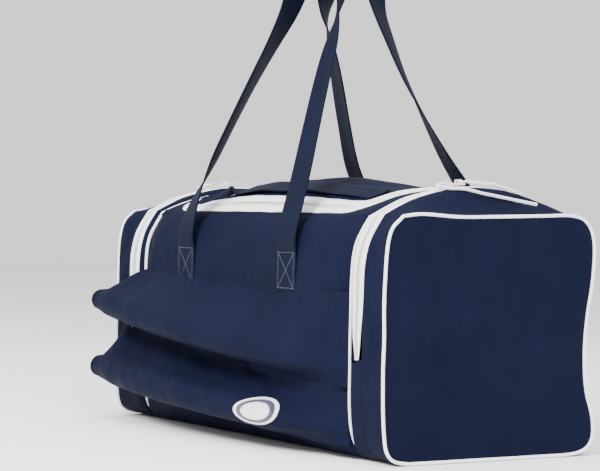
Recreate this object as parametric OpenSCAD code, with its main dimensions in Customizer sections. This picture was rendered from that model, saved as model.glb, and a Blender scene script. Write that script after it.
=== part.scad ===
// Equipment bag: a canvas duffel with a zipped lid, two zipped end pockets,
// two bat sleeves on its front and two long webbing handles.
// Origin: centre of the flat bottom. X runs along the bag, -Y is the front, Z is up.

/* [Bag] */
// Overall length along X
bag_length = 780; // [770:5:790]
// Overall width along Y, without the piping
bag_width = 356; // [350:1:362]
// Height of the walls, without the crown of the lid
bag_height = 340; // [336:1:344]
// Radius of the four long rounded edges
corner_r = 45; // [40:1:50]
// How far the lid rises above the walls
crown_rise = 32; // [24:1:36]
// Thickness of a lined canvas wall
cloth_t = 3; // [2:0.5:4]
// Thickness of the base board
board_t = 3; // [2:0.5:4]
// Diameter of the corded piping
piping_d = 6; // [5:0.5:6]

/* [End pockets] */
// Depth of each end pocket along X
pocket_depth = 90; // [88:1:94]
// Height of the line about which a pocket flap folds open
flap_line = 135; // [125:1:145]

/* [Zippers] */
// Width of one zipper tape, beside its teeth
tape_w = 9; // [8:0.5:10]
// Width of one row of teeth
teeth_w = 4; // [3:0.5:4]
// Half length of the lid
lid_half = 240; // [230:1:242]

/* [Webbing] */
// Width of the handle webbing
webbing_w = 50; // [46:1:52]
// Thickness of the handle webbing
webbing_t = 2.5; // [2:0.1:3]
// Height of the stitched end of a handle, where it leaves the wall
handle_line = 297; // [295:1:299]

/* [Bat sleeves] */
// Outer radius of a sleeve around the bat's barrel
sleeve_r = 30; // [28:1:31]
// Outer radius of a sleeve at its mouth
mouth_r = 18; // [16:1:20]

/* [Hidden] */
$fn = 64;

// Colours
navy = [0.15, 0.19, 0.32];
dark_navy = [0.11, 0.15, 0.26];
white = [0.96, 0.96, 0.97];
metal = [0.80, 0.81, 0.83];
board = [0.16, 0.16, 0.17];

// Gap between surfaces that move past each other
gap = 0.4;
half_l = bag_length / 2;
half_w = bag_width / 2;
piping_r = piping_d / 2;
// How far the piping stands out of the walls
proud = 2;
// Centre of the piping between the main section and a pocket
main_end = half_l - pocket_depth;
// Ends of the main panels and of the pocket strips, either side of that piping
main_x = main_end - piping_r - 0.5;
pocket_x = main_end + piping_r + 0.5;

// Crown of the lid: an arc over the flat top
crown_half = 135;
crown_r = (crown_half * crown_half + crown_rise * crown_rise) / (2 * crown_rise);
crown_z = bag_height + crown_rise - crown_r;

// Lid outline, in steps from the lid panel out to the top panel
hinge_y = 125;
lid_front = 111;
lid_corner = 12;
lid_tape_edge = tape_w + 3;
lid_teeth_edge = lid_tape_edge + teeth_w;
body_tape_edge = lid_teeth_edge + teeth_w;
zip_edge = body_tape_edge + tape_w + 3;
top_front = lid_front + zip_edge + 7;
// Height of the teeth over the cloth
teeth_rise = 1.5;

// Pocket zipper, in steps along X from the strip beside the main piping
inner_tape_x = main_end + 13;
inner_teeth_x = inner_tape_x + tape_w;
zip_mid_x = inner_teeth_x + teeth_w;
outer_teeth_x = zip_mid_x + teeth_w;
gusset_x = outer_teeth_x + tape_w;
gusset_end = half_l - piping_d - 0.5;
end_panel_x = half_l - 4.5;
// A height above every wall
over_top = bag_height + crown_rise + 20;
// Gap left between the end panel and the ring of piping around it
ring_inset = piping_d + 0.5;

// Bat sleeves: both slope down towards the right, in front of the yoke
sleeve_y = -half_w - 4 - sleeve_r;
sleeve_mouth_x = -half_l + 5;
sleeve_cone_x = -main_end;
sleeve_end_x = 200;
sleeve_t = 1.5;
upper_mouth_z = 187;
upper_end_z = 130;
lower_mouth_z = 80;
lower_end_z = 45;

// Zipper sliders: places along the pocket tops
front_slider_y = -40;
back_slider_y = -20;
lid_slider_y = 70;
lid_slider_angle = asin(lid_slider_y / crown_r);
slider_l = 16;
slider_w = 10;
slider_h = 3.5;
// Top of the slider's plate over the cloth, and the bridge that holds the pull ring
slider_top = teeth_rise + gap + slider_h;
bridge_half = 5.5;
bridge_w = 1.6;
bridge_h = 3;
bridge_bar = 1.5;
ring_r = 6;
ring_wire = 1.1;
// Height of the ring's wire, midway between the plate and the bridge
ring_z = slider_top + bridge_h / 2;
cord_r = 2.25;

// Badge on the lower sleeve: middle, width and height
badge_x = 137;
badge_z = 50;
badge_w = 100;
badge_h = 48;

// Webbing strap along the front of the lid
strap_front_y = -88;
strap_width = 38;

// Cord routes over the right pocket, from the pull ring to the free end: X, Y and height over the cloth
front_cord_route = [
    [326, -52.5, 7], [333, -60, 5.4], [344, -55, 4.8], [352, -28, 5.2], [365, 14, 5.8], [379, 74, 6.4]
];
back_cord_route = [[326, -7.5, 7], [329, 4, 5.4], [335, 20, 4.8], [343, 40, 5.4], [352, 66, 6]];
lid_cord_route = [[256, 13, 7], [259.5, 20, 4.6], [264.5, 31, 3.1], [269, 46, 3.1]];

// Handle routes: X, Y, Z and the turn of the webbing about Z
front_handle_route = [
    [-152, -184, 299.5, 0], [-156, -168, 345, -8], [-144, -142, 405, -30], [-126, -116, 472, -42],
    [-112, -90, 535, -45], [-103, -61, 597, -52], [-98, -37, 650, -66], [-90, -28, 695, -86],
    [-70, -28, 726, -90], [-32, -28, 736, -90], [6, -28, 726, -90], [24, -28, 695, -82],
    [38, -37, 645, -40], [55, -57, 587, -14], [75, -84, 526, -8], [93, -110, 466, -6],
    [111, -136, 408, -4], [128, -162, 350, -2], [143, -184, 299.5, 0]
];
back_handle_route = [
    [-168, 184, 299.5, 0], [-168, 160, 345, -4], [-164, 127, 405, -8], [-153, 102, 475, -12],
    [-136, 76, 540, -15], [-119, 50, 600, -24], [-106, 31, 648, -50], [-92, 28, 695, -84],
    [-72, 28, 726, -90], [-32, 28, 736, -90], [6, 28, 726, -90], [26, 28, 695, -82],
    [38, 35, 640, -58], [43, 54, 594, -50], [52, 79, 535, -42], [68, 104, 475, -30],
    [90, 127, 415, -18], [113, 160, 350, -6], [130, 184, 299.5, 0]
];
anchor_low = 221;
anchor_top = handle_line - 6;
anchor_y = half_w + 6;

// Height of the crown, and of a pocket's top, which slopes from the crown to the end panel
function crown_top(y) = crown_z + sqrt(crown_r * crown_r - y * y);
function pocket_top(x, y) =
    crown_top(y) - (crown_top(y) - bag_height) * max(0, x - gusset_x) / (gusset_end - gusset_x);

// A rounded rectangle in the YZ plane
module rounded_section(half, low, high, r) {
    translate([-half, low + r]) square([2 * half, high - low - 2 * r]);
    translate([-half + r, low]) square([2 * (half - r), high - low]);
    for (y = [-half + r, half - r])
        for (z = [low + r, high - r])
            translate([y, z]) circle(r);
}

// The walls' outline, stepped inwards
module wall_section(inset) {
    rounded_section(half_w - inset, inset, bag_height - inset, corner_r - inset);
}

// The walls' outline with the crown of the lid on it
module crowned_section(inset) {
    wall_section(inset);
    intersection() {
        translate([0, crown_z]) circle(crown_r - inset, $fn = 128);
        translate([-half_w, bag_height - 10]) square([2 * half_w, crown_rise + 20]);
    }
}

// Stretches a YZ section along X
module along_x(x0, x1) {
    translate([x0, 0, 0]) rotate([90, 0, 90]) linear_extrude(x1 - x0) children();
}

// A shell of the main section between two depths, kept where the children's YZ region is
module main_shell(outer, inner) {
    along_x(-main_x, main_x)
        intersection() {
            difference() {
                crowned_section(outer);
                crowned_section(inner);
            }
            children();
        }
}

// Plan of the lid, grown by a step; its back edge stays on the hinge line
module lid_plan(grow) {
    half = lid_half + grow;
    front = lid_front + grow;
    r = lid_corner + grow;
    translate([-half, -front + r]) square([2 * half, front - r + hinge_y - gap]);
    translate([-half + r, -front]) square([2 * (half - r), r + 1]);
    for (x = [-half + r, half - r])
        translate([x, -front + r]) circle(r);
}

// The part of the top shell that lies over a plan
module top_piece(outer, inner) {
    intersection() {
        main_shell(outer, inner) translate([-half_w, bag_height - 25]) square([2 * half_w, 100]);
        translate([0, 0, bag_height - 40]) linear_extrude(crown_rise + 80) children();
    }
}

// A band of the lid's outline between two steps
module lid_band(from, to, outer, inner) {
    top_piece(outer, inner)
        difference() {
            lid_plan(to);
            lid_plan(from);
        }
}

// A closed ring of piping around a rounded YZ rectangle, whose top follows the crown or is flat
module piping_ring(x, half, low, high, r, crowned) {
    y = half - r;
    top_r = crown_r + proud - piping_r;
    reach = asin(y / top_r);
    translate([x, 0, 0]) {
        for (s = [-1, 1]) {
            translate([0, s * half, low + r]) cylinder(r = piping_r, h = high - low - 2 * r);
            piping_corner(s * y, high - r, r, s > 0 ? 0 : 90);
            piping_corner(s * y, low + r, r, s > 0 ? 270 : 180);
        }
        for (z = crowned ? [low] : [low, high])
            translate([0, -y, z]) rotate([-90, 0, 0]) cylinder(r = piping_r, h = 2 * y);
        if (crowned)
            translate([0, 0, crown_z]) rotate([90, 0, 90]) rotate([0, 0, 90 - reach])
                rotate_extrude(angle = 2 * reach) translate([top_r, 0]) circle(piping_r, $fn = 24);
    }
}

// A quarter bend of piping around an edge along X
module piping_corner(y, z, r, turn) {
    translate([0, y, z]) rotate([90, 0, 90]) rotate([0, 0, turn])
        rotate_extrude(angle = 90) translate([r, 0]) circle(piping_r, $fn = 24);
}

// Piping around one end of the main section
module main_piping(side) {
    color(white)
        piping_ring(side * main_end, half_w + proud - piping_r, piping_r,
                    bag_height + proud - piping_r, corner_r - 1, true);
}

// Piping around one end panel, above or below the flap line
module end_piping(side, upper) {
    tall = bag_height + 20;
    low = upper ? flap_line + gap : -10;
    high = upper ? tall : flap_line;
    color(white)
        intersection() {
            piping_ring(side * (half_l - piping_r), half_w + proud - piping_r, piping_r,
                        bag_height + proud - piping_r, corner_r - 1, false);
            translate([-half_l - 10, -half_w - 20, low]) cube([bag_length + 20, bag_width + 40, high - low]);
        }
}

// A ring of crowned pocket wall between two places along X and two heights
module pocket_ring(x0, x1, low, high, outer, inner) {
    along_x(x0, x1)
        intersection() {
            difference() {
                crowned_section(outer);
                crowned_section(inner);
            }
            translate([-half_w - 10, low]) square([bag_width + 20, high - low]);
        }
}

// Mirrors a right-hand piece to the named end
module at_end(side) {
    mirror([side < 0 ? 1 : 0, 0, 0]) children();
}

module base_board() {
    color(board)
        translate([-main_end + 12, -half_w + corner_r, cloth_t + 0.3])
            cube([2 * (main_end - 12), bag_width - 2 * corner_r, board_t]);
}

module bottom_panel() {
    color(dark_navy) main_shell(0, cloth_t) translate([-half_w - 5, -5]) square([bag_width + 10, corner_r + 5]);
}

module front_panel() {
    color(navy)
        main_shell(0, cloth_t) translate([-half_w - 5, corner_r]) square([half_w + 5 - top_front, bag_height]);
}

module back_panel() {
    color(navy)
        main_shell(0, cloth_t) translate([hinge_y, corner_r]) square([half_w, bag_height]);
}

// The frame of cloth around the zipper, with the gores that close the ends of the crown
module top_panel() {
    color(navy) {
        top_piece(0, cloth_t)
            difference() {
                translate([-main_x, -top_front]) square([2 * main_x, top_front + hinge_y]);
                lid_plan(zip_edge);
                translate([-lid_half - zip_edge, 0]) square([2 * (lid_half + zip_edge), hinge_y + 1]);
            }
        for (side = [-1, 1])
            at_end(side)
                along_x(main_x - cloth_t, main_x)
                    intersection() {
                        crowned_section(cloth_t);
                        translate([-top_front, bag_height - 2 * cloth_t])
                            square([top_front + hinge_y - gap, crown_rise + 20]);
                    }
    }
}

module partition(side) {
    color(dark_navy)
        at_end(side)
            along_x(main_end - 1, main_end + 1) crowned_section(ring_inset);
}

module lid_panel() {
    color(navy) top_piece(0, cloth_t) lid_plan(0);
}

module lid_zip_body_tape() {
    color(white) lid_band(body_tape_edge, zip_edge, 0, cloth_t);
}

module lid_zip_body_teeth() {
    color(white) lid_band(lid_teeth_edge + gap / 2, body_tape_edge, -teeth_rise, cloth_t / 2);
}

module lid_zip_lid_teeth() {
    color(white) lid_band(lid_tape_edge, lid_teeth_edge - gap / 2, -teeth_rise, cloth_t / 2);
}

module lid_zip_lid_tape() {
    color(white) lid_band(0, lid_tape_edge, 0, cloth_t);
}

// A webbing strap sewn along the front of the lid
module lid_strap() {
    strap_half = lid_half - 8;
    color(dark_navy)
        intersection() {
            along_x(-strap_half, strap_half)
                difference() {
                    crowned_section(-webbing_t);
                    crowned_section(-0.1);
                }
            translate([-strap_half, strap_front_y, bag_height])
                cube([2 * strap_half, strap_width, crown_rise + 20]);
        }
}

// A slider lying over the teeth at the origin, its zipper running along Y
module slider() {
    color(metal) {
        translate([-slider_w / 2, -slider_l / 2, teeth_rise + gap]) cube([slider_w, slider_l, slider_h]);
        for (y = [-bridge_half, bridge_half - bridge_bar])
            translate([-bridge_w / 2, y, slider_top]) cube([bridge_w, bridge_bar, bridge_h]);
        translate([-bridge_w / 2, -bridge_half, slider_top + bridge_h])
            cube([bridge_w, 2 * bridge_half, bridge_bar]);
    }
}

// A pull ring through the bridge of a slider at the origin, lying towards +Y or -Y
module pull_ring(way) {
    color(metal)
        translate([0, way * ring_r, ring_z])
            rotate_extrude() translate([ring_r, 0]) circle(ring_wire, $fn = 16);
}

// Places children at the rest place of a pocket slider
module at_pocket_slider(side, y) {
    at_end(side) on_crown(asin(y / crown_r)) translate([zip_mid_x, 0, 0]) children();
}

// Turns children about the axis of the crown, from its top towards the back
module on_crown(angle) {
    translate([0, 0, crown_z]) rotate([-angle, 0, 0]) translate([0, 0, crown_r]) children();
}

// Places children at the rest place of the lid slider
module at_lid_slider() {
    on_crown(lid_slider_angle) translate([lid_half + lid_teeth_edge, 0, 0]) children();
}

// Points of a Catmull-Rom curve through a route, with n steps between its points
function between(a, b, c, d, t) =
    0.5 * (2 * b + (c - a) * t + (2 * a - 5 * b + 4 * c - d) * t * t + (3 * b - a - 3 * c + d) * t * t * t);
function route_at(p, i) = p[max(0, min(len(p) - 1, i))];
function smooth_route(p, n) = [
    for (i = [0 : len(p) - 2], k = [0 : n - 1])
        between(route_at(p, i - 1), p[i], p[i + 1], route_at(p, i + 2), k / n),
    p[len(p) - 1]
];

function unit(v) = v / norm(v);
function xyz(v) = [v[0], v[1], v[2]];
function heading(p, i) = unit(xyz(route_at(p, i + 1)) - xyz(route_at(p, i - 1)));

// Faces of a swept solid with m points in each of its n rings
function swept_faces(n, m) = concat(
    [[for (k = [0 : m - 1]) k]],
    [for (i = [0 : n - 2], k = [0 : m - 1])
        each [
            [i * m + k, (i + 1) * m + k, i * m + (k + 1) % m],
            [i * m + (k + 1) % m, (i + 1) * m + k, (i + 1) * m + (k + 1) % m]
        ]],
    [[for (k = [0 : m - 1]) n * m - 1 - k]]
);

// A round cord along a route
module cord(route) {
    sides = 10;
    p = smooth_route(route, 2);
    rings = [
        for (i = [0 : len(p) - 1])
            let (h = heading(p, i))
            let (side = unit(cross(h, [0, 0, 1])))
            let (up = cross(side, h))
            for (k = [0 : sides - 1])
                p[i] + cord_r * (cos(-360 * k / sides) * side + sin(-360 * k / sides) * up)
    ];
    color(white) polyhedron(rings, swept_faces(len(p), sides));
}

// Flat webbing along a route of X, Y, Z and turn
module webbing(route) {
    rings = [
        for (i = [0 : len(route) - 1])
            let (h = heading(route, i))
            let (flat = [cos(route[i][3]), sin(route[i][3]), 0])
            let (across = unit(flat - (flat * h) * h))
            let (thick = cross(h, across))
            for (c = [[-1, -1], [1, -1], [1, 1], [-1, 1]])
                xyz(route[i]) + c[0] * webbing_w / 2 * across - c[1] * webbing_t / 2 * thick
    ];
    color(dark_navy) polyhedron(rings, swept_faces(len(route), 4));
}

// The two stitched ends of a handle on a wall
module anchors(route, side) {
    color(dark_navy)
        for (x = [route[0][0], route[len(route) - 1][0]])
            translate([x - webbing_w / 2, side * anchor_y - webbing_t / 2, anchor_low])
                cube([webbing_w, webbing_t, anchor_top - anchor_low]);
}

module pocket_body(side) {
    color(navy)
        at_end(side) {
            pocket_ring(pocket_x, inner_tape_x, -5, over_top, 0, cloth_t);
            pocket_ring(inner_tape_x, gusset_end, -5, flap_line, 0, cloth_t);
        }
}

// One band of a pocket zipper
module zip_band(side, x0, x1, rise, depth) {
    color(white) at_end(side) pocket_ring(x0, x1, flap_line + gap, over_top, -rise, depth);
}

module inner_tape(side) {
    zip_band(side, inner_tape_x, inner_teeth_x, 0, cloth_t);
}

module inner_teeth(side) {
    zip_band(side, inner_teeth_x, zip_mid_x - gap / 2, teeth_rise, cloth_t / 2);
}

module outer_tape(side) {
    zip_band(side, outer_teeth_x, gusset_x, 0, cloth_t);
}

module outer_teeth(side) {
    zip_band(side, zip_mid_x + gap / 2, outer_teeth_x, teeth_rise, cloth_t / 2);
}

// Outline of a gusset from the front flap line over the top to the back one, crowned or flat
function gusset_outline(inset, crowned) = concat(
    [[inset - half_w, flap_line + gap]],
    [for (a = [180 : -15 : 90]) gusset_corner(-1, inset, a)],
    [for (y = [-120 : 20 : 120]) [y, (crowned ? crown_top(y) : bag_height) - inset]],
    [for (a = [90 : -15 : 0]) gusset_corner(1, inset, a)],
    [[half_w - inset, flap_line + gap]]
);
function gusset_corner(s, inset, a) = [
    s * (half_w - corner_r) + (corner_r - inset) * cos(a),
    bag_height - corner_r + (corner_r - inset) * sin(a)
];
function gusset_points(outer, inner, outer_far, inner_far) = [
    for (k = [0 : len(outer) - 1])
        each [
            [gusset_x, outer[k][0], outer[k][1]],
            [gusset_x, inner[k][0], inner[k][1]],
            [gusset_end, inner_far[k][0], inner_far[k][1]],
            [gusset_end, outer_far[k][0], outer_far[k][1]]
        ]
];

module gusset(side) {
    points = gusset_points(
        gusset_outline(0, true), gusset_outline(cloth_t, true),
        gusset_outline(0, false), gusset_outline(cloth_t, false)
    );
    color(navy)
        at_end(side)
            polyhedron(points, swept_faces(len(points) / 4, 4));
}

module end_panel(side, upper) {
    low = upper ? flap_line + gap : 0;
    high = upper ? bag_height : flap_line;
    color(navy)
        at_end(side)
            along_x(end_panel_x, end_panel_x + cloth_t)
                intersection() {
                    wall_section(ring_inset);
                    translate([-half_w, low]) square([bag_width, high - low]);
                }
}

module pocket_zip_stops() {
    color(white)
        for (side = [-1, 1])
            at_end(side)
                for (y = [-half_w - 3.2, half_w + 1.7])
                    translate([inner_teeth_x - 1, y, flap_line + 3]) cube([teeth_w + 0.8, 1.5, 6]);
}

module sleeve_yoke() {
    color(navy)
        translate([-main_x + 4, -half_w - cloth_t - 0.2, 12]) cube([2 * main_x - 10, cloth_t, 200]);
}

// A hollow sleeve: a tapered mouth at the left, closed at the right
module sleeve(mouth_z, end_z) {
    run = sleeve_end_x - sleeve_mouth_x;
    tilt = atan((mouth_z - end_z) / run);
    cone = (sleeve_cone_x - sleeve_mouth_x) / cos(tilt);
    whole = run / cos(tilt);
    color(navy)
        translate([sleeve_mouth_x, sleeve_y, mouth_z]) rotate([0, 90 + tilt, 0])
            difference() {
                union() {
                    cylinder(r1 = mouth_r, r2 = sleeve_r, h = cone);
                    translate([0, 0, cone]) cylinder(r = sleeve_r, h = whole - cone);
                }
                translate([0, 0, -0.01])
                    cylinder(r1 = mouth_r - sleeve_t, r2 = sleeve_r - sleeve_t, h = cone + 0.02);
                translate([0, 0, cone]) cylinder(r = sleeve_r - sleeve_t, h = whole - cone - 3);
            }
}

// A plain oval badge sewn over the lower sleeve
module emblem_patch() {
    patch_t = 0.9;
    color(white)
        translate([badge_x, sleeve_y - sleeve_r - 0.3, badge_z]) rotate([90, 0, 0])
            linear_extrude(patch_t)
                polygon([for (a = [0 : 12 : 348]) [badge_w / 2 * cos(a), badge_h / 2 * sin(a)]]);
}

module pocket_cord(side, route) {
    at_end(side) cord([for (p = route) [p[0], p[1], p[2] + pocket_top(p[0], p[1])]]);
}

module lid_pull_cord() {
    on_crown(lid_slider_angle)
        cord([for (p = lid_cord_route) [p[0], p[1], p[2] - p[1] * p[1] / (2 * crown_r)]]);
}

base_board();
bottom_panel();
front_panel();
back_panel();
top_panel();
partition(-1);  // left_partition
partition(1);  // right_partition
main_piping(-1);  // left_main_piping
main_piping(1);  // right_main_piping
lid_panel();
lid_zip_body_tape();
lid_zip_body_teeth();
lid_zip_lid_tape();
lid_zip_lid_teeth();
lid_strap();
at_lid_slider() slider();  // lid_slider
at_lid_slider() pull_ring(1);  // lid_pull_ring
lid_pull_cord();
pocket_body(-1);  // left_pocket_body
end_panel(-1, false);  // left_end_panel_foot
end_piping(-1, false);  // left_end_piping_foot
inner_tape(-1);  // left_zip_inner_tape
inner_teeth(-1);  // left_zip_inner_teeth
outer_tape(-1);  // left_zip_outer_tape
outer_teeth(-1);  // left_zip_outer_teeth
gusset(-1);  // left_gusset
end_panel(-1, true);  // left_end_panel
end_piping(-1, true);  // left_end_piping
at_pocket_slider(-1, front_slider_y) slider();  // left_front_slider
at_pocket_slider(-1, front_slider_y) pull_ring(-1);  // left_front_ring
pocket_cord(-1, front_cord_route);  // left_front_cord
at_pocket_slider(-1, back_slider_y) slider();  // left_back_slider
at_pocket_slider(-1, back_slider_y) pull_ring(1);  // left_back_ring
pocket_cord(-1, back_cord_route);  // left_back_cord
pocket_body(1);  // right_pocket_body
end_panel(1, false);  // right_end_panel_foot
end_piping(1, false);  // right_end_piping_foot
inner_tape(1);  // right_zip_inner_tape
inner_teeth(1);  // right_zip_inner_teeth
outer_tape(1);  // right_zip_outer_tape
outer_teeth(1);  // right_zip_outer_teeth
gusset(1);  // right_gusset
end_panel(1, true);  // right_end_panel
end_piping(1, true);  // right_end_piping
at_pocket_slider(1, front_slider_y) slider();  // right_front_slider
at_pocket_slider(1, front_slider_y) pull_ring(-1);  // right_front_ring
pocket_cord(1, front_cord_route);  // right_front_cord
at_pocket_slider(1, back_slider_y) slider();  // right_back_slider
at_pocket_slider(1, back_slider_y) pull_ring(1);  // right_back_ring
pocket_cord(1, back_cord_route);  // right_back_cord
pocket_zip_stops();
sleeve_yoke();
sleeve(upper_mouth_z, upper_end_z);  // upper_sleeve
sleeve(lower_mouth_z, lower_end_z);  // lower_sleeve
emblem_patch();
webbing(front_handle_route);  // front_handle
anchors(front_handle_route, -1);  // front_handle_anchors
webbing(back_handle_route);  // back_handle
anchors(back_handle_route, 1);  // back_handle_anchors
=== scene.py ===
import logging
import math
from dataclasses import dataclass
from enum import Enum
from typing import Callable, Iterable, Sequence

import bmesh
import bpy
import numpy as np
from mathutils import Matrix, Vector, noise
from mathutils.bvhtree import BVHTree


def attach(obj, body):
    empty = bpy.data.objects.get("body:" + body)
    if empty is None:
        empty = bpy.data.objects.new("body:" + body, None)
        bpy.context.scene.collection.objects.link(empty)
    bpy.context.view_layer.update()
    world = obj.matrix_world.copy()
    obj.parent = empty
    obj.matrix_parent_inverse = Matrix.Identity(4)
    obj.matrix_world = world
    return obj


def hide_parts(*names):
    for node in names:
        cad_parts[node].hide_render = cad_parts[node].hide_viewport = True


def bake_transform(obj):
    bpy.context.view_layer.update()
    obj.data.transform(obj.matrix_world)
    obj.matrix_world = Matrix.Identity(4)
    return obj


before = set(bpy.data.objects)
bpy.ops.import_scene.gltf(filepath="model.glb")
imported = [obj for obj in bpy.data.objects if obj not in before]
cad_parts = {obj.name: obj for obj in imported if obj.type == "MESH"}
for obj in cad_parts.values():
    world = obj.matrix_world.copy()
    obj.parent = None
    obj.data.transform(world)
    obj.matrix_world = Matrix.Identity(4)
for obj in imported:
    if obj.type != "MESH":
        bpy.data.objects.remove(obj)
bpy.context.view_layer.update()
LOG = logging.getLogger("equipment_bag")
MM = 0.001
MID_Z = 165.0


class Slot(Enum):
    """The material slots of the record."""

    CANVAS = "canvas"
    WEBBING = "webbing"
    LINING = "lining"
    PIPING = "piping"
    ZIP_TAPE = "zip_tape"
    ZIP_TEETH = "zip_teeth"
    SLIDER = "slider_metal"
    CORD = "pull_cord"
    BOARD = "base_board"
    THREAD = "emblem_thread"


class End(Enum):
    """The two ends of the bag, with the sign of X at each."""

    LEFT = -1
    RIGHT = 1

    @property
    def word(self) -> str:
        """The end's name in piece and node names."""
        return self.name.lower()


# ---------------------------------------------------------------------------------------------
# Shader helpers


class Num:
    """A number that varies over a surface; operators on it add Math nodes."""

    def __init__(self, shade: "Shade", socket: bpy.types.NodeSocket) -> None:
        """Wraps an output socket."""
        self.shade = shade
        self.socket = socket

    def _math(self, operation: str, first: object, second: object = None) -> "Num":
        """Adds one Math node.

        Args:
            operation: the Math node's operation.
            first: its first value, a Num or a number.
            second: its second value, if the operation has one.

        Returns:
            The node's result.
        """
        values = {0: first} if second is None else {0: first, 1: second}
        return Num(self.shade, self.shade.node("ShaderNodeMath", {"operation": operation}, values).outputs[0])

    def __add__(self, other: object) -> "Num":
        """Sum."""
        return self._math("ADD", self, other)

    __radd__ = __add__

    def __sub__(self, other: object) -> "Num":
        """Difference."""
        return self._math("SUBTRACT", self, other)

    def __rsub__(self, other: object) -> "Num":
        """Difference, the other way."""
        return self._math("SUBTRACT", other, self)

    def __mul__(self, other: object) -> "Num":
        """Product."""
        return self._math("MULTIPLY", self, other)

    __rmul__ = __mul__

    def __truediv__(self, other: object) -> "Num":
        """Quotient."""
        return self._math("DIVIDE", self, other)

    def __pow__(self, other: object) -> "Num":
        """Power."""
        return self._math("POWER", self, other)

    def sine(self) -> "Num":
        """Sine of the number."""
        return self._math("SINE", self)

    def at_most(self, other: object) -> "Num":
        """The smaller of the two."""
        return self._math("MINIMUM", self, other)

    def at_least(self, other: object) -> "Num":
        """The larger of the two."""
        return self._math("MAXIMUM", self, other)

    def within(self) -> "Num":
        """The number held between 0 and 1."""
        return self.at_least(0.0).at_most(1.0)


class Shade:
    """One material's node tree."""

    def __init__(self, name: str) -> None:
        """Makes an empty material of that name."""
        self.material = bpy.data.materials.new(name)
        self.material.use_nodes = True
        self.tree = self.material.node_tree
        self.tree.nodes.clear()

    def node(self, kind: str, settings: dict | None = None, values: dict | None = None) -> bpy.types.Node:
        """Makes any node.

        Args:
            kind: the node's type.
            settings: its own settings, set first.
            values: numbers, colours, sockets or Nums for its inputs, by name or place.

        Returns:
            The new node.
        """
        made = self.tree.nodes.new(kind)
        for key, value in (settings or {}).items():
            if key == "ramp":
                self._stops(made.color_ramp, value)
            else:
                setattr(made, key, value)
        for key, value in (values or {}).items():
            socket = made.inputs[key]
            if isinstance(value, Num):
                value = value.socket
            if isinstance(value, bpy.types.NodeSocket):
                self.tree.links.new(value, socket)
            else:
                socket.default_value = value
        return made

    @staticmethod
    def _stops(ramp: bpy.types.ColorRamp, stops: Sequence[tuple[float, tuple]]) -> None:
        """Sets a colour ramp's stops."""
        while len(ramp.elements) > 1:
            ramp.elements.remove(ramp.elements[-1])
        for i, (place, colour) in enumerate(stops):
            element = ramp.elements[0] if i == 0 else ramp.elements.new(place)
            element.position = place
            element.color = (*colour, 1.0)

    def place(self) -> bpy.types.NodeSocket:
        """Object coordinates, in metres."""
        return self.node("ShaderNodeTexCoord").outputs["Object"]

    def cloth(self) -> tuple[Num, Num]:
        """The two cloth coordinates of the piece's UV map, in metres."""
        uv = self.node("ShaderNodeUVMap", {"uv_map": "cloth"}).outputs[0]
        split = self.node("ShaderNodeSeparateXYZ", values={0: uv})
        return Num(self, split.outputs[0]), Num(self, split.outputs[1])

    def attribute(self, name: str) -> Num:
        """A float attribute of the piece."""
        return Num(self, self.node("ShaderNodeAttribute", {"attribute_name": name}).outputs["Fac"])

    def noise(self, scale: float, detail: float = 3.0, vector: object = None, rough: float = 0.5) -> Num:
        """Noise from 0 to 1.

        Args:
            scale: patches per metre.
            detail: octaves.
            vector: coordinates, by default the object's.
            rough: share of the finer octaves.

        Returns:
            The noise value.
        """
        values = {"Vector": vector or self.place(), "Scale": scale, "Detail": detail, "Roughness": rough}
        return Num(self, self.node("ShaderNodeTexNoise", values=values).outputs["Fac"])

    def mix(self, amount: Num, first: object, second: object) -> bpy.types.NodeSocket:
        """Mixes two colours by a number."""
        made = self.node("ShaderNodeMix", {"data_type": "RGBA"}, {0: amount, 6: first, 7: second})
        return made.outputs[2]

    def bump(self, height: Num, distance: float, strength: float = 1.0, normal: object = None) -> object:
        """Turns a height into a normal."""
        values = {"Height": height, "Distance": distance, "Strength": strength}
        if normal is not None:
            values["Normal"] = normal
        return self.node("ShaderNodeBump", values=values).outputs[0]

    def surface(self, **values: object) -> bpy.types.Material:
        """Ends the material in a Principled shader with those inputs."""
        names = {key.replace("_", " ").title().replace("Ior", "IOR"): value for key, value in values.items()}
        shader = self.node("ShaderNodeBsdfPrincipled", values=names)
        self.node("ShaderNodeOutputMaterial", values={"Surface": shader.outputs[0]})
        return self.material


def rgb(red: float, green: float, blue: float) -> tuple[float, float, float, float]:
    """A linear colour with full alpha."""
    return (red, green, blue, 1.0)


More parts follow.
